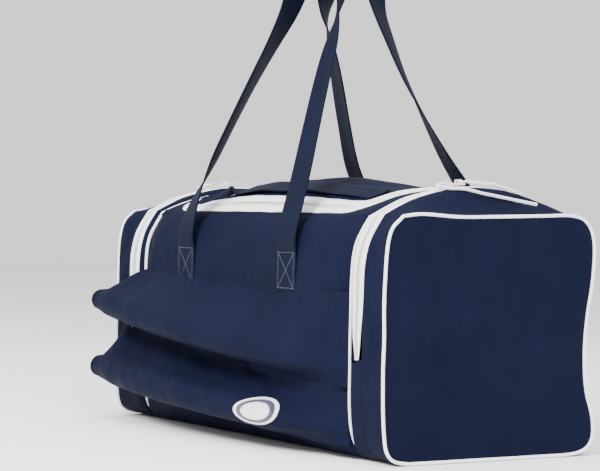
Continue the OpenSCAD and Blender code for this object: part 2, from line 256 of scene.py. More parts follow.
@dataclass(frozen=True)
class Canvas:
    """Coated woven canvas: a fine plain weave with soft mottling and puckered seams."""

    name: str = "navy_canvas"
    deep: tuple = (0.0018, 0.0025, 0.0098)
    pale: tuple = (0.0060, 0.0078, 0.0260)
    thread_pitch: float = 0.0011
    weave_depth: float = 0.00012
    roughness: float = 0.76
    sheen: float = 0.003

    def make(self) -> bpy.types.Material:
        """Builds the material."""
        s = Shade(self.name)
        u, v = s.cloth()
        turn = 2 * math.pi / self.thread_pitch
        wobble = s.noise(900.0, 1.0) * 1.4
        warp = (u * turn + wobble).sine()
        weft = (v * turn + wobble).sine()
        weave = (warp * weft * 0.5 + 0.5).within()
        slub = s.noise(260.0, 3.0)
        mottle = s.noise(9.0, 4.0, rough=0.62)
        seam = s.attribute("seam")
        pucker = ((u + v) * (2 * math.pi / 0.011) + s.noise(60.0, 2.0) * 7.0).sine() * seam
        tone = (mottle * 0.75 + weave * 0.22 + slub * 0.2 - 0.12 + seam * 0.1).within()
        colour = s.mix(tone, rgb(*self.deep), rgb(*self.pale))
        fine = s.bump(weave * 0.6 + slub * 0.5, self.weave_depth)
        creases = s.noise(11.0, 3.0, rough=0.5) + 0.2 * s.noise(40.0, 3.0, rough=0.55)
        soft = s.bump(creases, 0.010, normal=fine)
        normal = s.bump(pucker * 0.5 + 0.5, 0.0009, normal=soft)
        rough = self.roughness - 0.10 * weave + 0.16 * (mottle - 0.5)
        return s.surface(
            base_color=colour, roughness=rough, normal=normal, sheen_weight=self.sheen,
            sheen_roughness=0.45, sheen_tint=rgb(0.45, 0.55, 0.95), specular_ior_level=0.05,
        )


@dataclass(frozen=True)
class Webbing:
    """Woven webbing: ribs across its length and a chevron of yarns."""

    name: str = "navy_webbing"
    deep: tuple = (0.0016, 0.0024, 0.0088)
    pale: tuple = (0.0056, 0.0082, 0.0235)
    rib: float = 0.0017
    yarn: float = 0.0021

    def make(self) -> bpy.types.Material:
        """Builds the material."""
        s = Shade(self.name)
        along, across = s.cloth()
        ribs = ((along * (2 * math.pi / self.rib)).sine() * 0.5 + 0.5).within()
        yarns = ((across * (2 * math.pi / self.yarn) + ribs * 2.2).sine() * 0.5 + 0.5).within()
        height = ribs * 0.6 + yarns * 0.5
        mottle = s.noise(30.0, 3.0)
        tone = (height * 0.6 + mottle * 0.5 - 0.1).within()
        normal = s.bump(height, 0.0003)
        return s.surface(
            base_color=s.mix(tone, rgb(*self.deep), rgb(*self.pale)), roughness=0.66 - 0.12 * height,
            normal=normal, sheen_weight=0.006, sheen_roughness=0.4, sheen_tint=rgb(0.5, 0.6, 0.95),
            specular_ior_level=0.05,
        )


@dataclass(frozen=True)
class WhiteCloth:
    """White woven cloth for piping and zipper tape, a little grey in its weave."""

    name: str
    pitch: float
    depth: float
    soil: float = 0.10

    def make(self) -> bpy.types.Material:
        """Builds the material."""
        s = Shade(self.name)
        u, v = s.cloth()
        turn = 2 * math.pi / self.pitch
        twill = (((u + v) * turn).sine() * 0.5 + 0.5).within()
        soil = (s.noise(70.0, 4.0) * self.soil + (1 - twill) * 0.10).within()
        colour = s.mix(soil, rgb(0.90, 0.90, 0.91), rgb(0.55, 0.55, 0.58))
        return s.surface(
            base_color=colour, roughness=0.72 - 0.1 * twill, normal=s.bump(twill, self.depth),
            sheen_weight=0.2, sheen_roughness=0.5,
        )


@dataclass(frozen=True)
class Braid:
    """White braided cord, its strands crossing in a fine diamond."""

    name: str = "white_braid"
    strands: float = 5.0
    lay: float = 0.0042

    def make(self) -> bpy.types.Material:
        """Builds the material."""
        s = Shade(self.name)
        along, around = s.cloth()
        one = (along * (2 * math.pi / self.lay) + around * (2 * math.pi * self.strands)).sine()
        other = (along * (2 * math.pi / self.lay) - around * (2 * math.pi * self.strands)).sine()
        height = (one.at_least(other) * 0.5 + 0.5).within()
        colour = s.mix((1 - height) * 0.8, rgb(0.90, 0.90, 0.90), rgb(0.42, 0.42, 0.46))
        return s.surface(base_color=colour, roughness=0.75 - 0.1 * height, normal=s.bump(height, 0.0005))


@dataclass(frozen=True)
class Smooth:
    """A plain moulded or enamelled finish with slight unevenness."""

    name: str
    colour: tuple
    roughness: float
    metallic: float = 0.0
    grain: float = 500.0
    depth: float = 0.00004

    def make(self) -> bpy.types.Material:
        """Builds the material."""
        s = Shade(self.name)
        grain = s.noise(self.grain, 3.0)
        dull = tuple(0.72 * c for c in self.colour)
        return s.surface(
            base_color=s.mix(grain * 0.5, rgb(*self.colour), rgb(*dull)),
            roughness=self.roughness + 0.15 * (grain - 0.5), metallic=self.metallic,
            normal=s.bump(grain, self.depth),
        )


@dataclass(frozen=True)
class Embroidery:
    """Satin-stitched thread: fine parallel ridges."""

    name: str
    colour: tuple
    pitch: float = 0.0009

    def make(self) -> bpy.types.Material:
        """Builds the material."""
        s = Shade(self.name)
        u, v = s.cloth()
        ridge = (((u * 0.6 + v) * (2 * math.pi / self.pitch)).sine() * 0.5 + 0.5).within()
        dull = tuple(0.6 * c for c in self.colour)
        return s.surface(
            base_color=s.mix((1 - ridge) * 0.6, rgb(*self.colour), rgb(*dull)), roughness=0.42 + 0.1 * ridge,
            normal=s.bump(ridge, 0.0002), sheen_weight=0.3,
        )


class Wardrobe:
    """Every finish of the bag, made once each."""

    def __init__(self) -> None:
        """Makes the materials."""
        self.by_slot: dict[Slot, bpy.types.Material] = {
            Slot.CANVAS: Canvas().make(),
            Slot.WEBBING: Webbing().make(),
            Slot.LINING: Canvas(
                "navy_lining", (0.004, 0.006, 0.018), (0.008, 0.011, 0.028), sheen=0.0
            ).make(),
            Slot.PIPING: WhiteCloth("white_piping", 0.0012, 0.0001, 0.06).make(),
            Slot.ZIP_TAPE: WhiteCloth("white_zip_tape", 0.0010, 0.00012).make(),
            Slot.ZIP_TEETH: Smooth("white_zip_coil", (0.88, 0.88, 0.88), 0.34).make(),
            Slot.SLIDER: Smooth("white_enamel", (0.80, 0.80, 0.81), 0.25, 0.15).make(),
            Slot.CORD: Braid().make(),
            Slot.BOARD: Smooth("black_board", (0.018, 0.018, 0.020), 0.55, 0.0, 160.0, 0.0002).make(),
            Slot.THREAD: Embroidery("white_thread", (0.90, 0.90, 0.92)).make(),
        }
        self.navy_thread = Embroidery("navy_thread", (0.016, 0.022, 0.058)).make()

    def __getitem__(self, slot: Slot) -> bpy.types.Material:
        """The slot's material."""
        return self.by_slot[slot]


# ---------------------------------------------------------------------------------------------
# Mesh helpers


def smooth_between(x: np.ndarray, xs: Sequence[float], ys: Sequence[float]) -> np.ndarray:
    """Values on a smooth curve through given points (monotone cubic).

    Args:
        x: where to read the curve.
        xs: rising places of the points.
        ys: their values.

    Returns:
        The values at x.
    """
    xs, ys = np.asarray(xs, float), np.asarray(ys, float)
    step = np.diff(xs)
    slope = np.diff(ys) / step
    tangent = np.zeros_like(ys)
    tangent[1:-1] = (slope[:-1] + slope[1:]) / 2
    x = np.clip(x, xs[0], xs[-1])
    i = np.clip(np.searchsorted(xs, x) - 1, 0, len(xs) - 2)
    t = (x - xs[i]) / step[i]
    return (
        ys[i] * (2 * t**3 - 3 * t**2 + 1) + tangent[i] * step[i] * (t**3 - 2 * t**2 + t)
        + ys[i + 1] * (3 * t**2 - 2 * t**3) + tangent[i + 1] * step[i] * (t**3 - t**2)
    )


def resample(points: np.ndarray, count: int, closed: bool = False) -> np.ndarray:
    """Evenly spaced points along a polyline.

    Args:
        points: the polyline.
        count: how many points to return.
        closed: whether the last point joins the first.

    Returns:
        The points; a closed line doesn't repeat its first point.
    """
    if closed:
        points = np.vstack([points, points[:1]])
    reach = np.concatenate([[0], np.cumsum(np.linalg.norm(np.diff(points, axis=0), axis=1))])
    at = np.linspace(0, reach[-1], count, endpoint=not closed)
    return np.stack([np.interp(at, reach, points[:, k]) for k in range(points.shape[1])], axis=1)


def spline(points: Sequence[Sequence[float]], steps: int = 8) -> np.ndarray:
    """Points of a Catmull-Rom curve through a route."""
    p = np.asarray(points, float)
    p = np.vstack([2 * p[0] - p[1], p, 2 * p[-1] - p[-2]])
    out = []
    for i in range(1, len(p) - 2):
        for t in np.arange(steps) / steps:
            a, b, c, d = p[i - 1 : i + 3]
            square, cube = 2 * a - 5 * b + 4 * c - d, 3 * b - a - 3 * c + d
            out.append(0.5 * (2 * b + (c - a) * t + square * t**2 + cube * t**3))
    return np.array(out + [p[-2]])


def line_length(points: np.ndarray) -> float:
    """Length of a polyline."""
    return float(np.linalg.norm(np.diff(points, axis=0), axis=1).sum())


def make_mesh(
    name: str, points: np.ndarray, faces: Iterable[Sequence[int]], material: bpy.types.Material,
    uv: np.ndarray | None = None, seam: np.ndarray | None = None,
) -> bpy.types.Object:
    """Makes one smooth-shaded object at the origin.

    Args:
        name: the piece's name.
        points: its vertices, in metres.
        faces: vertex numbers of each face.
        material: its finish.
        uv: cloth coordinates of each vertex, in metres.
        seam: how near each vertex is to a seam, from 0 to 1.

    Returns:
        The object.
    """
    mesh = bpy.data.meshes.new(name)
    mesh.from_pydata([tuple(map(float, p)) for p in points], [], [tuple(map(int, f)) for f in faces])
    mesh.materials.append(material)
    layer = mesh.uv_layers.new(name="cloth")
    corners = np.zeros(len(mesh.loops), np.int32)
    mesh.loops.foreach_get("vertex_index", corners)
    flat = np.asarray(points)[:, :2] if uv is None else uv
    layer.data.foreach_set("uv", np.asarray(flat, np.float32)[corners].ravel())
    near = mesh.attributes.new("seam", "FLOAT", "POINT")
    values = np.zeros(len(points)) if seam is None else seam
    near.data.foreach_set("value", values.astype(np.float32))
    mesh.validate()
    for polygon in mesh.polygons:
        polygon.use_smooth = True
    obj = bpy.data.objects.new(name, mesh)
    bpy.context.scene.collection.objects.link(obj)
    return obj


def grid_faces(rows: int, columns: int, wrap: bool = False) -> np.ndarray:
    """Quads of a grid whose vertex (i, j) is i * columns + j.

    Args:
        rows: vertices one way.
        columns: vertices the other way.
        wrap: whether the last column joins the first.

    Returns:
        The faces, one row each.
    """
    i = np.arange(rows - 1)[:, None]
    j = np.arange(columns if wrap else columns - 1)[None, :]
    k = (j + 1) % columns
    low, high = i * columns, (i + 1) * columns
    quads = np.stack([low + j, high + j, high + k, low + k], axis=-1)
    return quads.reshape(-1, 4)


def drop_unused(points: np.ndarray, faces: np.ndarray, *layers: np.ndarray) -> tuple:
    """Leaves out the vertices that no face uses."""
    used = np.unique(faces)
    new = np.full(len(points), -1)
    new[used] = np.arange(len(used))
    return (points[used], new[faces], *[layer[used] for layer in layers])


def thicken(obj: bpy.types.Object, thickness: float, side: float = -1.0) -> None:
    """Gives a sheet its thickness with an applied Solidify."""
    modifier = obj.modifiers.new("thickness", "SOLIDIFY")
    modifier.thickness = thickness
    modifier.offset = side
    modifier.use_even_offset = False
    apply_modifiers(obj)


def apply_modifiers(obj: bpy.types.Object) -> None:
    """Replaces an object's mesh by its evaluated one and removes the modifiers."""
    bpy.context.view_layer.update()
    graph = bpy.context.evaluated_depsgraph_get()
    mesh = bpy.data.meshes.new_from_object(
        obj.evaluated_get(graph), preserve_all_data_layers=True, depsgraph=graph
    )
    obj.modifiers.clear()
    obj.data = mesh


def frames_along(path: np.ndarray, closed: bool, up: Sequence[float] = (0, 0, 1)) -> tuple:
    """Unit headings and two side directions along a path, without twist.

    Args:
        path: the path's points.
        closed: whether it joins up.
        up: a direction to start from.

    Returns:
        Headings, first sides and second sides.
    """
    if closed:
        heading = np.roll(path, -1, axis=0) - np.roll(path, 1, axis=0)
    else:
        heading = np.gradient(path, axis=0)
    heading /= np.linalg.norm(heading, axis=1)[:, None]
    side = np.zeros_like(path)
    last = np.cross(heading[0], up)
    if np.linalg.norm(last) < 1e-3:
        last = np.cross(heading[0], (1, 0, 0))
    for i, h in enumerate(heading):
        last = last - h * (last @ h)
        last = last / np.linalg.norm(last)
        side[i] = last
    return heading, side, np.cross(heading, side)


def tube(
    name: str, path: np.ndarray, radius: np.ndarray | float, material: bpy.types.Material,
    closed: bool = False, sides: int = 12,
) -> bpy.types.Object:
    """A round tube along a path, with rounded closed ends if it is open.

    Args:
        name: the piece's name.
        path: centreline in metres.
        radius: radius, or one for each point.
        material: its finish.
        closed: whether the path joins up.
        sides: sides of the tube.

    Returns:
        The object.
    """
    radius = np.broadcast_to(np.asarray(radius, float), len(path)).copy()
    if not closed:
        heading = np.gradient(path, axis=0)
        heading /= np.linalg.norm(heading, axis=1)[:, None]
        start = [path[0] - heading[0] * radius[0] * k for k in (0.5, 0.3)]
        end = [path[-1] + heading[-1] * radius[-1] * k for k in (0.3, 0.5)]
        path = np.vstack([start, path, end])
        radius = np.concatenate([radius[:1] * (0.55, 0.9), radius, radius[-1:] * (0.9, 0.55)])
    heading, side, other = frames_along(path, closed)
    angle = np.arange(sides) / sides * 2 * math.pi
    ring = np.cos(angle)[None, :, None] * side[:, None] + np.sin(angle)[None, :, None] * other[:, None]
    points = (path[:, None] + radius[:, None, None] * ring).reshape(-1, 3)
    faces = grid_faces(len(path), sides, wrap=True)[:, ::-1].tolist()
    n = len(path)
    if closed:
        # the ring may have turned on the way round, so the last joins the first at the best shift
        first, last = points[:sides], points[-sides:]
        shift = min(range(sides), key=lambda k: np.abs(np.roll(first, -k, axis=0) - last).sum())
        base = (n - 1) * sides
        for k in range(sides):
            m = (k + 1) % sides
            faces.append([base + m, (m + shift) % sides, (k + shift) % sides, base + k])
    else:
        faces.append(list(range(sides)))
        faces.append([(n - 1) * sides + k for k in range(sides)][::-1])
    reach = np.concatenate([[0], np.cumsum(np.linalg.norm(np.diff(path, axis=0), axis=1))])
    uv = np.stack([np.repeat(reach, sides), np.tile(np.arange(sides) / sides, n)], axis=1)
    if sides and material.name != "white_braid":
        uv[:, 1] *= 2 * math.pi * float(radius.mean())
    return make_mesh(name, points, faces, material, uv)


def finish_piece(
    obj: bpy.types.Object, body: str | tuple, replaces: Sequence[str] = (),
) -> bpy.types.Object:
    """Attaches a piece to its body, or only bakes it in place when given a blend, and hides the CAD nodes it
    stands for.

    Args:
        obj: the piece.
        body: a body's name, or two bodies with the start and end of the blend.
        replaces: CAD nodes it replaces.

    Returns:
        The piece.
    """
    if isinstance(body, str):
        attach(obj, body)
    else:
        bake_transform(obj)
    if replaces:
        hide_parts(*replaces)
    LOG.info("%s: %d faces", obj.name, len(obj.data.polygons))
    return obj


# ---------------------------------------------------------------------------------------------
# The bag's form, in millimetres


@dataclass(frozen=True)
class Form:
    """The shape that every cloth piece is laid on, in millimetres."""

    seam_x: float = 300.0
    zip_x: float = 326.0
    gusset_x: float = 339.0
    end_x: float = 387.0
    lid_half: float = 240.0
    lid_front: float = 111.0
    lid_corner: float = 12.0
    hinge_y: float = 125.0
    shelf_y: float = 150.0
    crown_rise: float = 32.0
    crown_half: float = 135.0
    wall_top: float = 340.0
    flap_z: float = 135.5
    gusset_run: float = 44.5
    walls: tuple = (
        (-163, 312), (-173, 292), (-178.5, 262), (-180, 200), (-180, 130), (-179, 70), (-174, 32),
        (-160, 9), (-135, 1.6), (-60, 1.2), (60, 1.2), (135, 1.6), (160, 9), (174, 32), (178, 80),
        (179, 170), (177, 250), (171, 295), (156, 322),
    )
    end_ring: tuple = (
        (-152, 330), (-170, 312), (-177, 280), (-179, 230), (-179, 170), (-180, 110), (-178, 50),
        (-171, 16), (-145, 4), (-80, 3), (0, 3), (80, 3), (145, 5), (170, 20), (172, 50), (160, 90),
        (155, 135), (159, 190), (168, 250), (170, 298), (157, 325), (130, 334), (80, 333), (0, 331),
        (-60, 330), (-120, 333),
    )

    def crown_top(self, y: np.ndarray) -> np.ndarray:
        """Height of the plain crown at a place across the bag."""
        radius = (self.crown_half**2 + self.crown_rise**2) / (2 * self.crown_rise)
        return self.wall_top + self.crown_rise - radius + np.sqrt(np.maximum(radius**2 - np.square(y), 1.0))

    def top(self, x: np.ndarray, y: np.ndarray) -> np.ndarray:
        """Height of the main top, fuller in its middle than at its ends.

        Args:
            x: places along the bag.
            y: places across it.

        Returns:
            The heights.
        """
        x, y = np.broadcast_arrays(np.asarray(x, float), np.asarray(y, float))
        crest = smooth_between(
            x, (-340, -300, -236, -150, -63, 50, 155, 255, 300, 340),
            (372, 364, 362, 375, 385, 384, 375, 368, 366, 372),
        )
        middle = np.clip(1 - np.square(x / 300.0), 0, 1) ** 0.5
        front = np.clip((-y - 95) / 55, 0, 1) ** 1.5
        hollow = 1.6 * np.sin(x / 31.0 + y / 60.0) * middle * np.clip(1 - np.abs(y) / 150, 0, 1)
        full = (crest - self.wall_top - self.crown_rise) * np.clip(1 - np.square(y / 150), 0, 1)
        return self.crown_top(y) + full - 6.0 * front * middle + hollow

    def open_ring(self, x: float, steps: int = 8) -> np.ndarray:
        """Outline of walls and bottom at one place, from the front shelf round to the hinge line."""
        ends = [(y, float(self.top(x, y))) for y in (-self.shelf_y, self.hinge_y)]
        return spline([ends[0], *self.walls, ends[1]], steps)

    def closed_ring(self, x: float, count: int) -> np.ndarray:
        """Whole outline at one place, starting at the front shelf and going down the front."""
        across = (100, 60, 20, -20, -60, -100, -128)
        over = [(y, float(self.top(x, y))) for y in across]
        ends = [(y, float(self.top(x, y))) for y in (-self.shelf_y, self.hinge_y)]
        loop = [ends[0], *self.walls, ends[1], *over]
        return resample(spline([*loop, loop[0]], 8)[:-1], count, closed=True)

    def pocket_ring(self, x: float, count: int) -> np.ndarray:
        """Outline of an end pocket at a distance from the bag's middle."""
        crowned = self.closed_ring(self.zip_x, count)
        flat = resample(spline([*self.end_ring, self.end_ring[0]], 8)[:-1], count, closed=True)
        share = min(max((x - self.gusset_x) / (self.end_x - self.gusset_x), 0.0), 1.0)
        share = share * share * (2.2 - 1.2 * share)
        middle = np.array([0.0, 165.0])
        ring = crowned * (1 - share) + flat * share
        puff = 4.0 * math.sin(math.pi * min(max((x - self.seam_x) / 90.0, 0.0), 1.0)) * 0.6
        away = ring - middle
        away /= np.linalg.norm(away, axis=1)[:, None]
        lifted = np.clip((ring[:, 1] - 20) / 60, 0, 1) * np.clip((self.wall_top - 20 - ring[:, 1]) / 60, 0, 1)
        return ring + away * (puff * lifted)[:, None]

    def lid_edge(self, grow: float, count: int) -> np.ndarray:
        """The lid's zipper line, from the right hinge end round the front to the left.

        Args:
            grow: distance out from the lid's own edge.
            count: number of points.

        Returns:
            Points (X, Y).
        """
        half, front, r = self.lid_half + grow, self.lid_front + grow, self.lid_corner + grow
        turn = np.radians(np.linspace(0, 90, 9))
        right = [(half - r + r * math.cos(a), -front + r - r * math.sin(a)) for a in turn]
        path = [(half, self.hinge_y), *right, *[(-x, y) for x, y in reversed(right)], (-half, self.hinge_y)]
        return resample(np.array(path), count)


FORM = Form()


def ripple(points: np.ndarray, wave: float, seed: float) -> np.ndarray:
    """Soft noise between -1 and 1 at each point, one value per point.

    Args:
        points: places in millimetres.
        wave: size of the patches.
        seed: shifts the pattern.

    Returns:
        The values.
    """
    return np.array([noise.noise(Vector((p[0] / wave + seed, p[1] / wave, p[2] / wave))) for p in points])


@dataclass(frozen=True)
class Fold:
    """A soft crease between two points of the surface; its depth is negative for a ridge."""

    start: tuple[float, float, float]
    end: tuple[float, float, float]
    width: float
    depth: float

    def at(self, points: np.ndarray) -> np.ndarray:
        """How far the fold sinks each point."""
        a, b = np.array(self.start), np.array(self.end)
        share = np.clip((points - a) @ (b - a) / ((b - a) @ (b - a)), 0, 1)
        away = np.linalg.norm(points - (a + share[:, None] * (b - a)), axis=1)
        taper = 0.35 + 0.65 * np.sin(np.pi * np.clip(share, 0.05, 0.95))
        return self.depth * taper * np.exp(-np.square(away / self.width))


def grid_normals(points: np.ndarray) -> np.ndarray:
    """Unit normals of a grid of points shaped (rows, columns, 3)."""
    normal = np.cross(np.gradient(points, axis=0), np.gradient(points, axis=1))
    return normal / np.maximum(np.linalg.norm(normal, axis=2, keepdims=True), 1e-9)


def cloth_grid(
    name: str, points: np.ndarray, material: bpy.types.Material, thickness: float, inside: Sequence[float],
    seam: np.ndarray | None = None, wrap: bool = False, keep: np.ndarray | None = None,
) -> bpy.types.Object:
    """A cloth piece from a grid of points, thickened away from its outer face.

    Args:
        name: the piece's name.
        points: grid (rows, columns, 3) in millimetres, on the outer face.
        material: its finish.
        thickness: in millimetres.
        inside: a point the cloth's inner face looks towards.
        seam: seam closeness on the grid.
        wrap: whether the columns join up.
        keep: which faces to keep, on the grid of faces.

    Returns:
        The object.
    """
    rows, columns = points.shape[:2]
    faces = grid_faces(rows, columns, wrap)
    along = np.concatenate([[0], np.cumsum(np.linalg.norm(np.diff(points, axis=0), axis=2).mean(axis=1))])
    across = np.concatenate([[0], np.cumsum(np.linalg.norm(np.diff(points, axis=1), axis=2).mean(axis=0))])
    uv = np.stack(np.meshgrid(along, across, indexing="ij"), axis=-1).reshape(-1, 2) * MM
    flat = points.reshape(-1, 3)
    near = np.zeros(len(flat)) if seam is None else np.broadcast_to(seam, (rows, columns)).reshape(-1)
    if keep is not None:
        faces = faces[keep.reshape(-1)]
    flat, faces, uv, near = drop_unused(flat, faces, uv, near)
    centre = flat[faces].mean(axis=1)
    normal = np.cross(flat[faces[:, 1]] - flat[faces[:, 0]], flat[faces[:, 3]] - flat[faces[:, 0]])
    if ((centre - np.array(inside)) * normal).sum() < 0:
        faces = faces[:, ::-1]
    obj = make_mesh(name, flat * MM, faces, material, uv, near)
    weld(obj)
    thicken(obj, thickness * MM)
    return obj


def weld(obj: bpy.types.Object) -> None:
    """Joins vertices that lie on each other."""
    mesh = bmesh.new()
    mesh.from_mesh(obj.data)
    bmesh.ops.remove_doubles(mesh, verts=mesh.verts, dist=1e-6)
    mesh.to_mesh(obj.data)
    mesh.free()


def tidy_normals(obj: bpy.types.Object) -> None:
    """Turns a closed mesh's faces outwards."""
    mesh = bmesh.new()
    mesh.from_mesh(obj.data)
    bmesh.ops.recalc_face_normals(mesh, faces=mesh.faces)
    mesh.to_mesh(obj.data)
    mesh.free()


# ---------------------------------------------------------------------------------------------
# Repeated details, laid by Geometry Nodes


@dataclass
class Scatter:
    """Places a small shape at each of many points, turned along their own directions."""

    name: str
    size: tuple[float, float, float]
    material: bpy.types.Material
    rounds: int = 8
    seed: int = 3

    def _tree(self) -> bpy.types.GeometryNodeTree:
        """Builds the node tree: points in, realised shapes out."""
        tree = bpy.data.node_groups.new(self.name + "_nodes", "GeometryNodeTree")
        tree.interface.new_socket("Points", in_out="INPUT", socket_type="NodeSocketGeometry")
        tree.interface.new_socket("Size", in_out="INPUT", socket_type="NodeSocketVector")
        tree.interface.new_socket("Unevenness", in_out="INPUT", socket_type="NodeSocketFloat")
        tree.interface.new_socket("Shapes", in_out="OUTPUT", socket_type="NodeSocketGeometry")

        def node(kind: str, values: dict | None = None, settings: dict | None = None) -> bpy.types.Node:
            """Makes one node with its settings and its inputs."""
            made = tree.nodes.new(kind)
            for key, value in (settings or {}).items():
                setattr(made, key, value)
            for key, value in (values or {}).items():
                if isinstance(value, bpy.types.NodeSocket):
                    tree.links.new(value, made.inputs[key])
                else:
                    made.inputs[key].default_value = value
            return made

        start = node("NodeGroupInput")
        shape = node(
            "GeometryNodeMeshCylinder",
            {"Vertices": self.rounds, "Radius": 0.5, "Depth": 1.0}, {"fill_type": "NGON"},
        )
        smooth = node("GeometryNodeSetShadeSmooth", {"Geometry": shape.outputs[0]})
        along = node("GeometryNodeInputNamedAttribute", {"Name": "along"}, {"data_type": "FLOAT_VECTOR"})
        up = node("GeometryNodeInputNamedAttribute", {"Name": "up"}, {"data_type": "FLOAT_VECTOR"})
        turn = node(
            "FunctionNodeAxesToRotation", {0: along.outputs[0], 1: up.outputs[0]},
            {"primary_axis": "Z", "secondary_axis": "Y"},
        )
        random = node(
            "FunctionNodeRandomValue", {"Min": (0, 0, 0), "Max": (1, 1, 1), "Seed": self.seed},
            {"data_type": "FLOAT_VECTOR"},
        )
        uneven = node(
            "ShaderNodeVectorMath", {0: random.outputs[0], "Scale": start.outputs["Unevenness"]},
            {"operation": "SCALE"},
        )
        grown = node("ShaderNodeVectorMath", {0: uneven.outputs[0], 1: (1.0, 1.0, 1.0)}, {"operation": "ADD"})
        scale = node(
            "ShaderNodeVectorMath", {0: grown.outputs[0], 1: start.outputs["Size"]}, {"operation": "MULTIPLY"}
        )
        copies = node(
            "GeometryNodeInstanceOnPoints",
            {"Points": start.outputs["Points"], "Instance": smooth.outputs[0], "Rotation": turn.outputs[0],
             "Scale": scale.outputs[0]},
        )
        real = node("GeometryNodeRealizeInstances", {"Geometry": copies.outputs[0]})
        painted = node("GeometryNodeSetMaterial", {"Geometry": real.outputs[0], "Material": self.material})
        node("NodeGroupOutput", {0: painted.outputs[0]})
        return tree

    def lay(self, points: np.ndarray, along: np.ndarray, up: np.ndarray) -> bpy.types.Object:
        """Places the shapes.

        Args:
            points: places in millimetres.
            along: direction of each shape's length.
            up: direction each shape's back faces.

        Returns:
            One plain mesh with all the shapes.
        """
        mesh = bpy.data.meshes.new(self.name)
        mesh.from_pydata([tuple(p) for p in points * MM], [], [])
        for key, value in (("along", along), ("up", up)):
            layer = mesh.attributes.new(key, "FLOAT_VECTOR", "POINT")
            layer.data.foreach_set("vector", value.astype(np.float32).ravel())
        obj = bpy.data.objects.new(self.name, mesh)
        bpy.context.scene.collection.objects.link(obj)
        modifier = obj.modifiers.new("shapes", "NODES")
        modifier.node_group = self._tree()
        items = modifier.node_group.interface.items_tree
        sockets = {s.name: s.identifier for s in items if s.in_out == "INPUT"}
        modifier[sockets["Size"]] = [v * MM for v in self.size]
        modifier[sockets["Unevenness"]] = 0.05
        apply_modifiers(obj)
        obj.data.uv_layers.new(name="cloth")
        return obj


def directions(path: np.ndarray, closed: bool = False) -> np.ndarray:
    """Unit headings along a path of points."""
    ahead = np.roll(path, -1, 0) - np.roll(path, 1, 0) if closed else np.gradient(path, axis=0)
    return ahead / np.maximum(np.linalg.norm(ahead, axis=1)[:, None], 1e-9)


def walk(path: np.ndarray, pitch: float) -> np.ndarray:
    """Points at an even pitch along an open path."""
    return resample(path, max(int(line_length(path) / pitch), 2))


# ---------------------------------------------------------------------------------------------
# Main section


